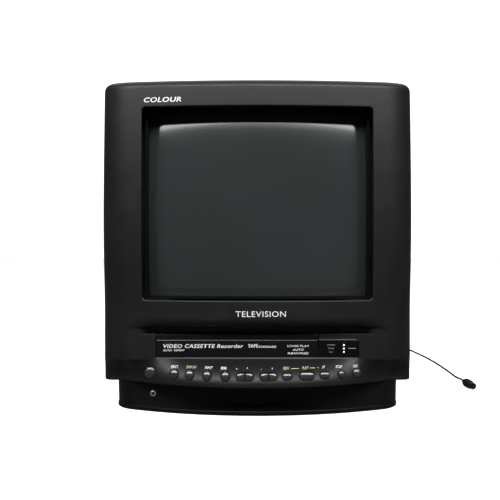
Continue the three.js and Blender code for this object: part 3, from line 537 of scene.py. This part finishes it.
def outer_levels():
    """Heights at which the outside is cut: close together where it rounds an edge."""
    levels = spread(CABINET_BOTTOM, CABINET_BOTTOM + BOTTOM_EDGE_RADIUS, 0.25)
    levels += spread(38.5, 64.3, 1.3) + spread(64.35, 65.45, 0.16)
    levels += [65.55] + spread(67, 94.8, 7) + spread(94.85, 95.58, 0.12)
    levels += [95.7, 99, 102.9, 103.05] + spread(103.15, 104.5, 0.2)
    levels += spread(104.8, BROW_START, 0.8) + spread(120, 384, 6)
    levels += spread(387.5, 392.5, 0.7) + spread(393, CABINET_TOP, 0.3)
    return levels


def inner_levels():
    """Heights at which the hollow is cut: at both sides of each step in the front."""
    return [39, 44, 50, 56, 61, 62.4, 62.6, 92.5, 92.7, 105.8, 106, 109, 113, 118, 180,
            TUBE_AXIS, 330, 370, 380, 389, CABINET_TOP - WALL]


def inside_depth(x, z):
    """The hollow's front: a wall's thickness behind the deepest of the front near it."""
    return max(front_at(x, z + step) for step in range(-WALL, WALL + 1)) + WALL


OPENING_HALF_WIDTH = 136.3
OPENING_TOP = 364.6
OPENING_BOTTOM = 137.2
OPENING_CORNER = 4.5
OPENING_LIP = 1.8
LIP_DEPTH = 8  # depth the lip's outline is taken at
WALLS_START, WALLS_END = 6, 30  # depths between which the walls close in
SIDE_SLOPE, TOP_SLOPE, BOTTOM_SLOPE = 0.18, 0.25, 0.12
COLLAR = (30, 37.5)  # depths of the collar behind the opening
BEHIND_OPENING = (30, 62, 70)


def opening_outline(outset, at_depth):
    """[x, z] points round the screen opening at a depth, made larger by an outset."""
    narrowing = min(WALLS_END, at_depth) - WALLS_START
    half_x = OPENING_HALF_WIDTH - SIDE_SLOPE * narrowing + outset
    top = OPENING_TOP - TOP_SLOPE * narrowing + outset
    bottom = OPENING_BOTTOM + BOTTOM_SLOPE * narrowing - outset
    return rounded_rectangle(half_x, (top - bottom) / 2, OPENING_CORNER + outset,
                             0, (top + bottom) / 2, 8, 24)


def opening_cutter():
    """The screen opening: a rounded lip that follows the bowed front, then sloping walls."""
    rings = [
        [(x, -40, z) for x, z in opening_outline(OPENING_LIP + 3, 4)],
        [(x, front_at(x, z) - 4, z) for x, z in opening_outline(OPENING_LIP + 0.6, 6)],
    ]
    for angle in quarter_turn(8):
        outline = opening_outline(OPENING_LIP * (1 - math.sin(angle)), LIP_DEPTH)
        into = OPENING_LIP * (1 - math.cos(angle))
        rings.append([(x, front_at(x, z) + into, z) for x, z in outline])
    for depth in BEHIND_OPENING:
        rings.append([(x, depth, z) for x, z in opening_outline(0, depth)])
    return loft(rings)


KEY_HEIGHT = 49.2
KEY_GAP = 0.45
KEY_CAP_LENGTH = 8
KEY_ROLL = 1.3
ROUND_CROWN, OBLONG_CROWN = 2.1, 1.5  # how far a key's top is domed
STEM_HALF = 2
KEYS = [  # name, x, width, height, side with a square end (1 right, -1 left, 0 none)
    ("power_key", -128.2, 14.4, 14.4, 0), ("eject_key", -98.4, 11.2, 11.2, 0),
    ("display_key", -79.8, 11.2, 11.2, 0), ("tv_video_key", -59, 11.2, 11.2, 0),
    ("memory_key", -37.3, 11.2, 11.2, 0), ("channel_down_key", -19.9, 10.2, 9, 1),
    ("channel_up_key", -9.1, 10.2, 9, -1), ("volume_down_key", 7.6, 10.2, 8.8, 1),
    ("volume_up_key", 18.4, 10.2, 8.8, -1), ("rewind_key", 34.6, 12.2, 7.8, 0),
    ("play_key", 57.9, 18.2, 9, 0), ("forward_key", 79.2, 12.4, 7.8, 0),
    ("stop_key", 99.1, 9.2, 9.2, 0), ("record_key", 118.4, 10.4, 10.4, 0),
]


def key_outline(width, height, square, outset=0.0):
    """[x, z] points round a key: a pill, or half a pill with one square end."""
    arc = 14
    radius = height / 2 + outset
    reach = width / 2 + outset - radius
    points = []
    for side in (1, -1):
        if square == side:
            end = side * (width / 2 + outset)
            points += [(end, -side * radius), (end, side * radius)]
            continue
        for i in range(arc + 1):
            angle = (i / arc - 0.5) * math.pi
            points.append((side * (reach + radius * math.cos(angle)),
                           side * radius * math.sin(angle)))
    return points


def key_hole(x, width, height, square):
    outline = key_outline(width, height, square, KEY_GAP)
    return loft([[(x + px, depth, KEY_HEIGHT + pz) for px, pz in outline] for depth in (-14, 60)])


DECK_X = -24.2  # middle of the flap
FLAP_HALF_WIDTH = 97
FLAP_GAP = 0.8
WINDOW = (74.1, 121.5)
SPEAKER_DEPTH, SPEAKER_HEIGHT = 86, 205
SPEAKER_SLOTS = 9
SLOT_PITCH, SLOT_HALF_WIDTH = 5.4, 1.2


def speaker_slots():
    """Upright slots in the left wall, in the outline of an ellipse."""
    slots = []
    for i in range(SPEAKER_SLOTS):
        across = (i - SPEAKER_SLOTS // 2) * SLOT_PITCH
        depth = SPEAKER_DEPTH + across
        reach = 26 * math.sqrt(1 - (across / 30) ** 2)
        slots.append(box_faces((-200, depth - SLOT_HALF_WIDTH, SPEAKER_HEIGHT - reach),
                               (-170, depth + SLOT_HALF_WIDTH, SPEAKER_HEIGHT + reach)))
    return merged(slots)


def paint_opening_shade(mesh):
    """Painted shade: the walls of the screen opening get a darker, duller plastic."""
    mesh.materials.append(MAT["opening_shade"])
    for face in mesh.polygons:
        x, y, z = face.center / MM
        depth = y - SHIFT
        in_opening = abs(x) < 137 and 136 < z < 366
        if in_opening and depth - front_at(x, z) > 1.6 and depth < BEHIND_OPENING[-1]:
            face.material_index = len(mesh.materials) - 1


def build_front_cabinet():
    """The front moulding: a hollow shell with its openings for tube, flap, window and keys."""
    outer = loft([cabinet_level(z, 0, front_at, 104) for z in outer_levels()])
    inner = loft([cabinet_level(z, WALL, inside_depth, 40) for z in inner_levels()])
    shell = make_object("cabinet_shell", *outer, MAT["cabinet"])
    boolean(shell, "DIFFERENCE", inner)
    collar = loft([[(x, d, z) for x, z in opening_outline(WALL, d)] for d in COLLAR])
    boolean(shell, "UNION", collar)
    boolean(shell, "DIFFERENCE", opening_cutter())
    slots = merged([
        box_faces((DECK_X - FLAP_HALF_WIDTH - FLAP_GAP, 10, 66.2),
                  (DECK_X + FLAP_HALF_WIDTH + FLAP_GAP, 42, 95.5)),
        box_faces((WINDOW[0] - 0.3, 10, 66.9), (WINDOW[1] + 0.3, 34, 87.9)),
    ])
    boolean(shell, "DIFFERENCE", slots)
    boolean(shell, "DIFFERENCE", merged([key_hole(*key[1:]) for key in KEYS[::2]]))
    boolean(shell, "DIFFERENCE", merged([key_hole(*key[1:]) for key in KEYS[1::2]]))
    boolean(shell, "DIFFERENCE", speaker_slots())
    shade_smoothly(shell.data, 32)
    # painted shade on the walls of the screen opening
    paint_opening_shade(shell.data)
    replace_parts(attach(shell, "set"), "front_cabinet")


# ---------------------------------------------------------------- tube

PANEL_HALF = (153, 129)
PANEL_CORNER = 30
PANEL_BACK = 95
PANEL_WALL = 12
FACE_DEPTH = 22
FACE_CURVES = (1280, 1200)  # twice the radii across and up
FACE_EDGE = 0.974  # share of the panel's size where its edge starts to round


def face_at(x, z):
    """Depth of the bulging tube face; z counts from the tube's axis."""
    return FACE_DEPTH + x * x / FACE_CURVES[0] + z * z / FACE_CURVES[1]


def build_screen():
    """The tube's glass panel, as a dense dished body."""
    def outline(scale):
        return rounded_rectangle(PANEL_HALF[0] * scale, PANEL_HALF[1] * scale,
                                 PANEL_CORNER * scale, 0, 0, 10, 12)

    def on_face(scale, offset):
        return [(x, face_at(x, z) + offset, z + TUBE_AXIS) for x, z in outline(scale)]

    def at_depth(scale, depth):
        return [(x, depth, z + TUBE_AXIS) for x, z in outline(scale)]

    steps = [0.002] + [i / 16 for i in range(1, 16)] + [FACE_EDGE]
    rings = [on_face(scale, 0) for scale in steps]
    for angle in quarter_turn(6)[1:]:
        rings.append(on_face(FACE_EDGE + 0.026 * math.sin(angle), 4 * (1 - math.cos(angle))))
    rings.append(at_depth(1, PANEL_BACK))
    inner = 1 - PANEL_WALL / PANEL_HALF[0]
    rings.append(at_depth(inner, PANEL_BACK))
    rings.append(on_face(inner * 0.97, 13))
    rings += [on_face(scale * inner, 10) for scale in reversed(steps[:-1])]
    glass = make_object("screen_glass", *loft(rings), MAT["screen"])
    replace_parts(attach(glass, "set"), "tube_panel")


# ---------------------------------------------------------------- keys


def build_key(name, x, width, height, square):
    """A glossy cap with a rolled edge and a slightly crowned top, on its stem."""
    low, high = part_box(name)
    front = low.y / MM - SHIFT
    back = high.y / MM - SHIFT
    crown = ROUND_CROWN if width == height else OBLONG_CROWN
    rings = []
    for i in range(1, 7):
        outline = key_outline(width, height, square, -min(width, height) / 2 * (1 - i / 7.5) * 0.8)
        fall = crown * (i / 7.5) ** 2
        rings.append([(x + px, front + fall, KEY_HEIGHT + pz) for px, pz in outline])
    for angle in quarter_turn(7):
        outline = key_outline(width, height, square, -KEY_ROLL * 0.7 * (1 - math.sin(angle)))
        depth = front + crown * 0.8 + KEY_ROLL * (1 - math.cos(angle))
        rings.append([(x + px, depth, KEY_HEIGHT + pz) for px, pz in outline])
    outline = key_outline(width, height, square)
    rings.append([(x + px, front + KEY_CAP_LENGTH, KEY_HEIGHT + pz) for px, pz in outline])
    cap = loft(rings)
    stem = box_faces((x - STEM_HALF, front + KEY_CAP_LENGTH + 0.01, KEY_HEIGHT - STEM_HALF),
                     (x + STEM_HALF, back, KEY_HEIGHT + STEM_HALF))
    made = make_object(name + "_cap", *merged([cap, stem]), MAT["key"], 40)
    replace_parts(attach(made, name), name)


# ---------------------------------------------------------------- flap and window


def rounded_plate(low, high, radius, material, name, extra=()):
    """A plate with all its front edges rolled over; extra shapes go with it."""
    (x0, y0, z0), (x1, y1, z1) = low, high
    cx, cz = (x0 + x1) / 2, (z0 + z1) / 2
    rings = []
    for angle in quarter_turn(5):
        inset = radius * (1 - math.sin(angle))
        depth = y0 + radius * (1 - math.cos(angle))
        outline = rounded_rectangle((x1 - x0) / 2 - inset, (z1 - z0) / 2 - inset,
                                    max(0.1, radius * 1.2 - inset), cx, cz, 4, 6)
        rings.append([(x, depth, z) for x, z in outline])
    rings.append([(x, y1, z) for x, z in outline])
    return make_object(name, *merged([loft(rings), *extra]), material, 40)


def build_flap_and_window():
    """The flap with its ridge and hinge pin, and the dark window beside it."""
    left, right = DECK_X - FLAP_HALF_WIDTH, DECK_X + FLAP_HALF_WIDTH
    ridge = loft([
        [(left + 0.6, FASCIA - 0.6 * math.sin(a), z + 0.6 * math.cos(a)),
         (right - 0.6, FASCIA - 0.6 * math.sin(a), z + 0.6 * math.cos(a)),
         (right - 0.6, FASCIA + 1, z), (left + 0.6, FASCIA + 1, z)]
        for a, z in [(math.pi * i / 8, 87.6) for i in range(9)]
    ])
    pin = turned([(left - 0.5, 0), (left - 0.5, 1.1), (right + 0.5, 1.1), (right + 0.5, 0)], 16)
    pin = [(d, FASCIA + 1.2 + y, 93.6 + z) for y, d, z in pin[0]], pin[1]
    flap = rounded_plate((left, FASCIA, 67), (right, FASCIA + 2.4, 94.6), 0.6, MAT["panel"],
                         "flap_door", [ridge, pin])
    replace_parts(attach(flap, "flap"), "cassette_flap")
    window = rounded_plate((WINDOW[0], FASCIA - 0.2, 67.2), (WINDOW[1], FASCIA + 4, 87.6), 0.5,
                           MAT["window"], "window_pane")
    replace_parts(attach(window, "set"), "indicator_window")


# ---------------------------------------------------------------- lettering

def add_text(name, words, x, z, size, material, body="set", depth_at=front_at, stretch=1.0,
             slant=0.0, bold=0.0, fit=None):
    """Printed generic wording laid on a surface, as a thin mesh that follows it."""
    curve = bpy.data.curves.new(name, "FONT")
    curve.body = words
    curve.size = size / 0.7 * MM
    curve.align_x = "CENTER"
    curve.offset = bold * MM
    curve.shear = slant
    curve.align_y = "CENTER"
    curve.resolution_u = 3
    curve.space_character = 1.08
    text = bpy.data.objects.new(name + "_curve", curve)
    add_to_scene(text)
    graph = bpy.context.evaluated_depsgraph_get()
    mesh = bpy.data.meshes.new_from_object(text.evaluated_get(graph))
    bpy.data.objects.remove(text)
    if fit:
        ends = [vertex.co.x / MM for vertex in mesh.vertices]
        stretch = fit / (max(ends) - min(ends))
    for vertex in mesh.vertices:
        px, pz = x + vertex.co.x / MM * stretch, z + vertex.co.y / MM
        vertex.co = place(px, depth_at(px, pz) - 0.12, pz)
    mesh.materials.clear()
    mesh.materials.append(material)
    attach(add_to_scene(bpy.data.objects.new(name, mesh)), body)


def add_bar(name, x0, x1, z0, z1, material, body="set", depth_at=front_at):
    """A printed line, cut fine enough along its length to follow the surface."""
    count = max(2, round((x1 - x0) / 2))
    points, faces = [], []
    for i in range(count + 1):
        x = x0 + (x1 - x0) * i / count
        points += [(x, depth_at(x, z0) - 0.06, z0), (x, depth_at(x, z1) - 0.06, z1)]
    for i in range(count):
        faces.append((2 * i, 2 * i + 2, 2 * i + 3, 2 * i + 1))
    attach(make_object(name, points, faces, material), body)


LABEL_HEIGHT = 57.2
LABELS = [  # word, x, whether it slants
    ("EJECT", -98.6, 1), ("DISPLAY", -78.4, 1), ("INPUT", -57.6, 1), ("MEM.", -39.6, 1),
    ("REW", 33.6, 1), ("PLAY", 56, 1), ("FF", 78, 1), ("STOP", 96.6, 1), ("REC", 117, 1),
    ("v", -24.4, 0), ("^", -11.6, 0), ("-", 4.6, 0), ("+", 17.4, 0),
]
WARM_LABELS = ("DISPLAY", "REW", "PLAY")


def add_bright_line(name, x0, x1, z0, z1, body):
    """A thin bright line: trim on flap and window, painted highlight on the key strip's ledge."""
    trim_and_highlight = make_object(name, *box_faces((x0, FASCIA - 0.75, z0), (x1, FASCIA + 0.3, z1)),
                       MAT["trim_and_highlight"])
    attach(trim_and_highlight, body)


def on_flap(x, z):
    """Depth of the flap's flat face."""
    return FASCIA


def on_window(x, z):
    """Depth of the window's flat face."""
    return FASCIA - 0.2


def build_lettering():
    """Plain words of no maker, the lamp dots and the bright lines round the deck's face."""
    for i, (words, x, slant) in enumerate(LABELS):
        warm = words in WARM_LABELS
        add_text(f"key_label_{i}", words, x, LABEL_HEIGHT, 2.7,
                 MAT["ink_warm" if warm else "ink"], stretch=0.8, slant=0.25 * slant, bold=0.04)
    for i, (x0, x1) in enumerate([(39.5, 48.9), (61.8, 72.4)]):
        add_bar(f"label_line_{i}", x0, x1, LABEL_HEIGHT - 0.6, LABEL_HEIGHT - 0.1,
                MAT["ink_warm"])
    add_text("word_under_screen", "TELEVISION", 4.2, 121.5, 6.6, MAT["ink"], stretch=1.12)
    add_text("word_above_screen", "COLOUR", -112, 372.4, 5.6, MAT["ink"], stretch=1.3,
             slant=0.2, bold=0.15)
    add_text("flap_words", "VIDEO CASSETTE Recorder", -65.7, 80.4, 4.4, MAT["ink"],
             "flap", on_flap, slant=0.2, bold=0.08, fit=95.8)
    add_text("flap_small_words", "AUTO  REPEAT", -100.2, 75.4, 2.1, MAT["ink"],
             "flap", on_flap, bold=0.05, fit=26)
    add_text("flap_tape_word", "TAPE", -5.3, 80.6, 4, MAT["ink"], "flap", on_flap,
             bold=0.1, fit=12)
    add_text("flap_beside_box", "STANDARD", 12, 79.6, 2.4, MAT["ink"], "flap", on_flap,
             bold=0.05, fit=21)
    for i, z in enumerate((80.6, 76.2, 71.8)):
        add_text(f"flap_note_{i}", ("LONG PLAY", "AUTO", "REWIND")[i], 49, z, 2.3,
                 MAT["ink"], "flap", on_flap, bold=0.04, fit=(26, 13, 25)[i])
    for i, (words, z) in enumerate((("POWER", 81.9), ("TIMER", 77.8), ("REC", 73.6))):
        add_text("window_" + words, words, 88.5, z, 1.7, MAT["ink_dim"], "set", on_window, 1.1)
        dot = turned([(FASCIA - 0.45, 0), (FASCIA - 0.35, 0.9), (FASCIA - 0.1, 1.15),
                      (FASCIA + 0.5, 1.15), (FASCIA + 0.5, 0)], 16)
        lamp = make_object("lamp_" + words, *moved(dot, 103.7, 0, z), MAT["lamp"])
        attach(lamp, "set")
    add_bright_line("trim_flap", -120.6, 72.2, 87, 88.1, "flap")
    add_bright_line("trim_window", 73.8, 118, 88.1, 89, "set")
    # painted highlight: a bright line along the ledge over the key strip, where its edge catches
    # light
    add_bright_line("painted_highlight_ledge", -121.5, 121.5, 65.6, 66.85, "set")
    add_bar("window_dash", 108.8, 118, 77.5, 78.3, MAT["ink_dim"], "set", on_window)


# ---------------------------------------------------------------- rear cover and base

# each section: depth, half width, bottom, top, corner radius
HUMP = [
    (118.3, 184.4, 60, 394.2, 14), (122, 184.2, 60, 393.4, 14), (160, 178, 60, 382, 20),
    (210, 160, 70, 358, 30), (260, 132, 95, 330, 36), (310, 104, 130, 312, 34),
    (350, 92, 150, 304, 30), (375, 88, 158, 299, 24), (382.9, 80, 166, 291, 18),
]
DECK_BOX = [
    (118.3, 186.4, 36.6, 120, 10), (200, 181, 38, 122, 12), (300, 177, 38, 120, 14),
    (326, 174, 40, 116, 12), (332, 168, 46, 110, 8),
]


def between(sections, step):
    """Sections joined by monotone curves, so the shell has no kinks along its length."""
    count = len(sections)
    slopes = []
    for k in range(1, 5):
        rises = [(b[k] - a[k]) / (b[0] - a[0]) for a, b in zip(sections, sections[1:])]
        middle = [0 if a * b <= 0 else 2 * a * b / (a + b) for a, b in zip(rises, rises[1:])]
        slopes.append([rises[0], *middle, rises[-1]])
    rows = []
    for i in range(count - 1):
        a, b = sections[i], sections[i + 1]
        run = b[0] - a[0]
        pieces = max(1, round(run / step))
        for s in range(pieces):
            t = s / pieces
            row = [a[0] + run * t]
            for k in range(1, 5):
                m0, m1 = slopes[k - 1][i] * run, slopes[k - 1][i + 1] * run
                row.append((2 * t**3 - 3 * t**2 + 1) * a[k] + (t**3 - 2 * t**2 + t) * m0
                           + (3 * t**2 - 2 * t**3) * b[k] + (t**3 - t**2) * m1)
            rows.append(row)
    return rows + [list(sections[-1])]


def box_loft(sections, inset=0):
    """A body through rounded rectangles, each made smaller by an inset."""
    rings = []
    for depth, half, bottom, top, corner in sections:
        outline = rounded_rectangle(half - inset, (top - bottom) / 2 - inset,
                                    max(2, corner - inset), 0, (top + bottom) / 2, 8, 4)
        rings.append([(x, depth, z) for x, z in outline])
    return loft(rings)


def pushed(sections):
    """Sections of the hollow: open past the front end, a wall short of the back end."""
    inner = [list(s) for s in sections]
    inner[0][0] -= 5
    inner[-1][0] -= WALL
    return inner


def rear_slots():
    """Cooling slots in the top, the back and both sides."""
    slots = []
    for i in range(15):
        x = (i - 7) * 13
        slots.append(box_faces((x - 1.6, 150, 300), (x + 1.6, 205, 400)))
        if abs(x) < 60:
            slots.append(box_faces((x - 1.6, 366, 215), (x + 1.6, 390, 268)))
    for i in range(8):
        depth = 165 + i * 13
        slots.append(box_faces((-200, depth - 1.6, 70), (200, depth + 1.6, 104)))
    return merged(slots)


SCREWS = [(-150, 332, 100), (150, 332, 100), (-150, 332, 52), (150, 332, 52)]


def build_rear_cover():
    """A hollow hump for the tube over a hollow box for the deck, with slots and ports."""
    cover = make_object("cover_shell", *box_loft(between(HUMP, 6)), MAT["cover"])
    boolean(cover, "UNION", box_loft(between(DECK_BOX, 12)))
    boolean(cover, "DIFFERENCE", box_loft(pushed(HUMP), WALL))
    boolean(cover, "DIFFERENCE", box_loft(pushed(DECK_BOX), WALL))
    boolean(cover, "DIFFERENCE", rear_slots())
    ports = merged([
        box_faces((-62.3, 320, 61.7), (62.3, 340, 94.3)),
        box_faces((-143.3, 320, 61.7), (-116.7, 340, 78.3)),
        moved(turned([(320, 0), (320, 4.3), (345, 4.3), (345, 0)], 20), 120, 0, 62),
    ])
    boolean(cover, "DIFFERENCE", ports)
    shade_smoothly(cover.data, 30)
    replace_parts(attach(cover, "set"), "rear_cover")


def build_screws():
    """Pan-head screws that hold the rear cover, with their cross slots."""
    head = [(331.2, 0), (331.2, 3.3), (331.6, 3.6), (332.4, 3.4), (333, 2.4), (333.2, 1.2),
            (333.25, 0)]
    for i, (x, _, z) in enumerate(SCREWS):
        screw = make_object(f"cover_screw_{i}", *moved(turned(head, 24), x, 0, z), MAT["steel"])
        cross = merged([box_faces((x - 2, 332.5, z - 0.35), (x + 2, 334, z + 0.35)),
                        box_faces((x - 0.35, 332.5, z - 2), (x + 0.35, 334, z - 0.36)),
                        box_faces((x - 0.35, 332.5, z + 0.36), (x + 0.35, 334, z + 2))])
        boolean(screw, "DIFFERENCE", cross)
        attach(screw, "set")


BASE_HALF_WIDTH = 175.2
BASE_CORNER = 22
BASE_BOW = 400  # radius of the plinth's front, seen from above
BASE_FRONT = 10.8
BASE_BACK = 318
BASE_UPRIGHT = 42  # depth of the upright part behind the plinth
BASE_WALL = 4
PLINTH_BOTTOM = 0.5
PLINTH_EDGE, PLINTH_TOP_EDGE = 1.4, 0.8
JACK_X, JACK_HEIGHT = -127.5, 20.3


def base_level(z, inset, nose, stations=72):
    """One level of the base from above, its front no further forward than the nose."""
    corner, half = BASE_CORNER - inset, BASE_HALF_WIDTH - inset
    ring = []
    for j in range(stations + 1):
        x = half * math.sin((2 * j / stations - 1) * math.pi / 2)
        curved = fallen(BASE_BOW, x) + BASE_FRONT + inset
        ring.append((x, max(nose, curved) + 0.8 * rolled(corner, abs(x) - (half - corner)), z))
    return ring + [(half, BASE_BACK - inset, z), (-half, BASE_BACK - inset, z)]


def build_base():
    """The tray under the set: a plinth with a bowed front and an upright part behind it."""
    top = CABINET_BOTTOM - 0.3
    levels = [base_level(PLINTH_BOTTOM + PLINTH_EDGE * (1 - math.cos(a)),
                         PLINTH_EDGE * (1 - math.sin(a)), 0) for a in quarter_turn(6)]
    levels += [base_level(5.2 + PLINTH_TOP_EDGE * math.sin(a),
                          PLINTH_TOP_EDGE * (1 - math.cos(a)), 0) for a in quarter_turn(6)]
    levels += [base_level(6.1, PLINTH_TOP_EDGE, BASE_UPRIGHT), base_level(top, 0, BASE_UPRIGHT)]
    base = make_object("base_moulding", *loft(levels), MAT["base"])
    hollow = [base_level(z, BASE_WALL, BASE_UPRIGHT + 3, 24) for z in (5, top + 5)]
    boolean(base, "DIFFERENCE", loft(hollow))
    hole = turned([(30, 0), (30, 3.2), (60, 3.2), (60, 0)], 28)
    boolean(base, "DIFFERENCE", moved(hole, JACK_X, 0, JACK_HEIGHT))
    shade_smoothly(base.data, 30)
    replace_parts(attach(base, "set"), "base_tray")


def build_jack():
    """The jack's metal ring: a closed profile turned round its axis."""
    profile = [(41, 2.2), (40.8, 2.4), (40.7, 2.9), (40.9, 3.3), (41.7, 3.6), (41.7, 2.9),
               (52, 2.9), (52, 2.2)]
    segments = 32
    points, faces = moved(turned(profile, segments), JACK_X, 0, JACK_HEIGHT)
    last = (len(profile) - 1) * segments
    faces = faces[:-2] + [(last + j, last + (j + 1) % segments, (j + 1) % segments, j)
                          for j in range(segments)]
    ring = make_object("jack_ring", points, faces, MAT["chrome"])
    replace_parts(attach(ring, "set"), "headphone_jack")


# ---------------------------------------------------------------- aerial lead

LEAD_RADIUS = 1.4
PLUG_DIRECTION = (0.09, -1, 0)
LEAD_ROUTE = [
    (120, 333.6, 62), (120, 343, 62), (120.5, 356, 58), (122, 368, 46), (124, 376, 30),
    (127, 383, 14), (132, 392, 5), (140, 406, 1.75), (154, 428, 1.75), (175, 454, 1.75),
    (203, 478, 1.75), (234, 492, 1.75), (260, 494, 1.75), (276, 484, 1.75), (284, 464, 1.75),
    (289, 430, 1.75), (294, 392, 1.75), (297.4, 343, 1.75), (298.6, 295, 1.75),
    (298.4, 250, 1.75), (297.4, 226, 2.1), (296.2, 207, 3.9), (295, 191, 5.9),
    (294.4, 184, 6.15), (294, 178, 6.2),
]


def smooth_route(points, steps):
    """Centripetal Catmull-Rom points through the route, evenly numbered between its points."""
    knots = [Vector(p) for p in points]
    knots = [knots[0] * 2 - knots[1], *knots, knots[-1] * 2 - knots[-2]]
    out = []
    for i in range(1, len(knots) - 2):
        p0, p1, p2, p3 = knots[i - 1 : i + 3]
        t0 = 0
        t1 = t0 + math.sqrt((p1 - p0).length)
        t2 = t1 + math.sqrt((p2 - p1).length)
        t3 = t2 + math.sqrt((p3 - p2).length)
        for s in range(steps):
            t = t1 + (t2 - t1) * s / steps
            a1 = p0 * ((t1 - t) / (t1 - t0)) + p1 * ((t - t0) / (t1 - t0))
            a2 = p1 * ((t2 - t) / (t2 - t1)) + p2 * ((t - t1) / (t2 - t1))
            a3 = p2 * ((t3 - t) / (t3 - t2)) + p3 * ((t - t2) / (t3 - t2))
            b1 = a1 * ((t2 - t) / (t2 - t0)) + a2 * ((t - t0) / (t2 - t0))
            b2 = a2 * ((t3 - t) / (t3 - t1)) + a3 * ((t - t1) / (t3 - t1))
            out.append(b1 * ((t2 - t) / (t2 - t1)) + b2 * ((t - t1) / (t2 - t1)))
    return out + [knots[-2]]


def build_lead():
    """The lead on its route, and the moulded plug with its metal end."""
    line = [place(*p) for p in smooth_route(LEAD_ROUTE, 4)]
    curve = bpy.data.curves.new("lead", "CURVE")
    curve.dimensions = "3D"
    curve.bevel_depth = LEAD_RADIUS * MM
    curve.bevel_resolution = 4
    curve.use_fill_caps = True
    spline = curve.splines.new("POLY")
    spline.points.add(len(line) - 1)
    for point, at in zip(spline.points, line):
        point.co = (*at, 1)
    curve.materials.append(MAT["cable"])
    lead = bpy.data.objects.new("lead", curve)
    add_to_scene(lead)
    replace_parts(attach(lead, "set"), "aerial_lead")

    grip = [(0, 0), (0, 2.2)]
    for i in range(5):
        grip += [(0.6 + i * 1.5, 2.5 + i * 0.28), (1.1 + i * 1.5, 2.5 + i * 0.28),
                 (1.2 + i * 1.5, 2.1 + i * 0.3), (1.7 + i * 1.5, 2.1 + i * 0.3)]
    grip += [(8.4, 4.4), (9.4, 5.5), (10.6, 5.9), (12, 6), (22, 6), (23, 5.8), (23.8, 5.2),
             (24, 4.4), (24, 0)]
    metal_end = [(24.02, 0), (24.02, 4.6), (24.6, 4.7), (33.4, 4.7), (34, 4.4), (34, 3.6),
                 (29, 3.6), (29, 1.2), (35, 1.2), (35.6, 0.8), (36, 0)]
    direction = Vector(PLUG_DIRECTION).normalized()
    turn = Vector((0, 1, 0)).rotation_difference(direction)
    start = Vector(LEAD_ROUTE[-1]) + direction * 0.3
    plug_parts = []
    for name, profile, material in (("plug_grip", grip, MAT["rubber"]),
                                    ("plug_contact", metal_end, MAT["gold"])):
        points, faces = turned(profile, 32)
        points = [tuple(start + turn @ Vector(p)) for p in points]
        made = make_object(name, points, faces, material, 40)
        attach(made, "set")
        plug_parts.append(made)
    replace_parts(plug_parts[0], "aerial_plug")


# ---------------------------------------------------------------- carried-over CAD nodes

CARRIED = {
    "rubber": ["foot_front_left", "foot_front_right", "foot_rear_left", "foot_rear_right",
               "anode_cap", "anode_lead", "pinch_roller", "lead_grommet"],
    "steel": ["shadow_mask", "tension_band", "electron_gun", "tuner_module", "deck_chassis",
              "cassette_carriage", "head_drum", "head_drum_base", "capstan", "loading_motor"],
    "aluminium": ["heatsink"],
    "winding": ["deflection_yoke"],
    "board": ["key_board", "neck_board", "main_board"],
    "part": ["power_switch", "degaussing_coil", "flyback_transformer", "power_transformer",
             "mains_capacitor", "av_socket_panel", "mains_inlet", "supply_reel_table",
             "takeup_reel_table"],
    "ferrite": ["neck_magnet_rings", "speaker_basket"],
    "paper": ["speaker_cone"],
    "bare_glass": ["tube_funnel"],
}


def dress_nodes():
    """Materials and smooth shading for the CAD nodes that stay."""
    for material, names in CARRIED.items():
        for name in names:
            node = nodes[name]
            node.data.materials.clear()
            node.data.materials.append(MAT[material])
            shade_smoothly(node.data, 32)


# ---------------------------------------------------------------- room and light

ROOM_HALF = 6  # metres
ROOM_CORNERS = [(-ROOM_HALF, -ROOM_HALF), (ROOM_HALF, -ROOM_HALF), (ROOM_HALF, ROOM_HALF),
                (-ROOM_HALF, ROOM_HALF)]


def stage_surface(name, points, faces, shade, glow):
    """A matt, faintly glowing surface that neither lights the set nor shows in it."""
    mesh = bpy.data.meshes.new(name)
    mesh.from_pydata(points, [], faces)
    pale = Nodes("pale_" + name)
    pale.shader.inputs["Base Color"].default_value = (shade, shade, shade, 1)
    pale.shader.inputs["Roughness"].default_value = 0.9
    pale.shader.inputs["Specular IOR Level"].default_value = 0.1
    pale.shader.inputs["Emission Color"].default_value = (1, 1, 1, 1)
    pale.shader.inputs["Emission Strength"].default_value = glow
    mesh.materials.append(pale.material)
    surface = bpy.data.objects.new(name, mesh)
    add_to_scene(surface)
    surface.visible_glossy = False
    surface.visible_diffuse = False


def build_room():
    stage_surface("floor", [(x, y, 0) for x, y in ROOM_CORNERS], [(0, 1, 2, 3)], 0.82, 0.82)
    walls = [(i, (i + 1) % 4, (i + 1) % 4 + 4, i + 4) for i in range(4)]
    stage_surface("backdrop", [(x, y, z) for z in (-0.01, 8) for x, y in ROOM_CORNERS], walls,
                  1, 1.2)

    world = bpy.data.worlds.new("studio")
    world.use_nodes = True
    background = world.node_tree.nodes["Background"]
    background.inputs["Color"].default_value = (1, 1, 1, 1)
    background.inputs["Strength"].default_value = 0.12
    bpy.context.scene.world = world


def area_light(name, location, target, size, power):
    """A soft rectangular light, in metres and watts, turned towards a target."""
    data = bpy.data.lights.new(name, "AREA")
    data.shape = "RECTANGLE"
    data.size, data.size_y = size
    data.energy = power
    light = bpy.data.objects.new(name, data)
    light.location = location
    light.rotation_euler = (Vector(target) - Vector(location)).to_track_quat("-Z", "Y").to_euler()
    add_to_scene(light)


build_lead()
build_front_cabinet()
build_screen()
for key in KEYS:
    build_key(*key)
build_flap_and_window()
build_lettering()
build_rear_cover()
build_screws()
build_base()
build_jack()
dress_nodes()
build_room()
area_light("front_softbox", (0, -2.1, 1.93), (0, 0, 0.25), (5.0, 0.9), 150)
area_light("top_light", (0, 1.0, 2.4), (0, 1.2, 0), (3.6, 2.4), 40)
bpy.context.scene.view_settings.view_transform = "Standard"
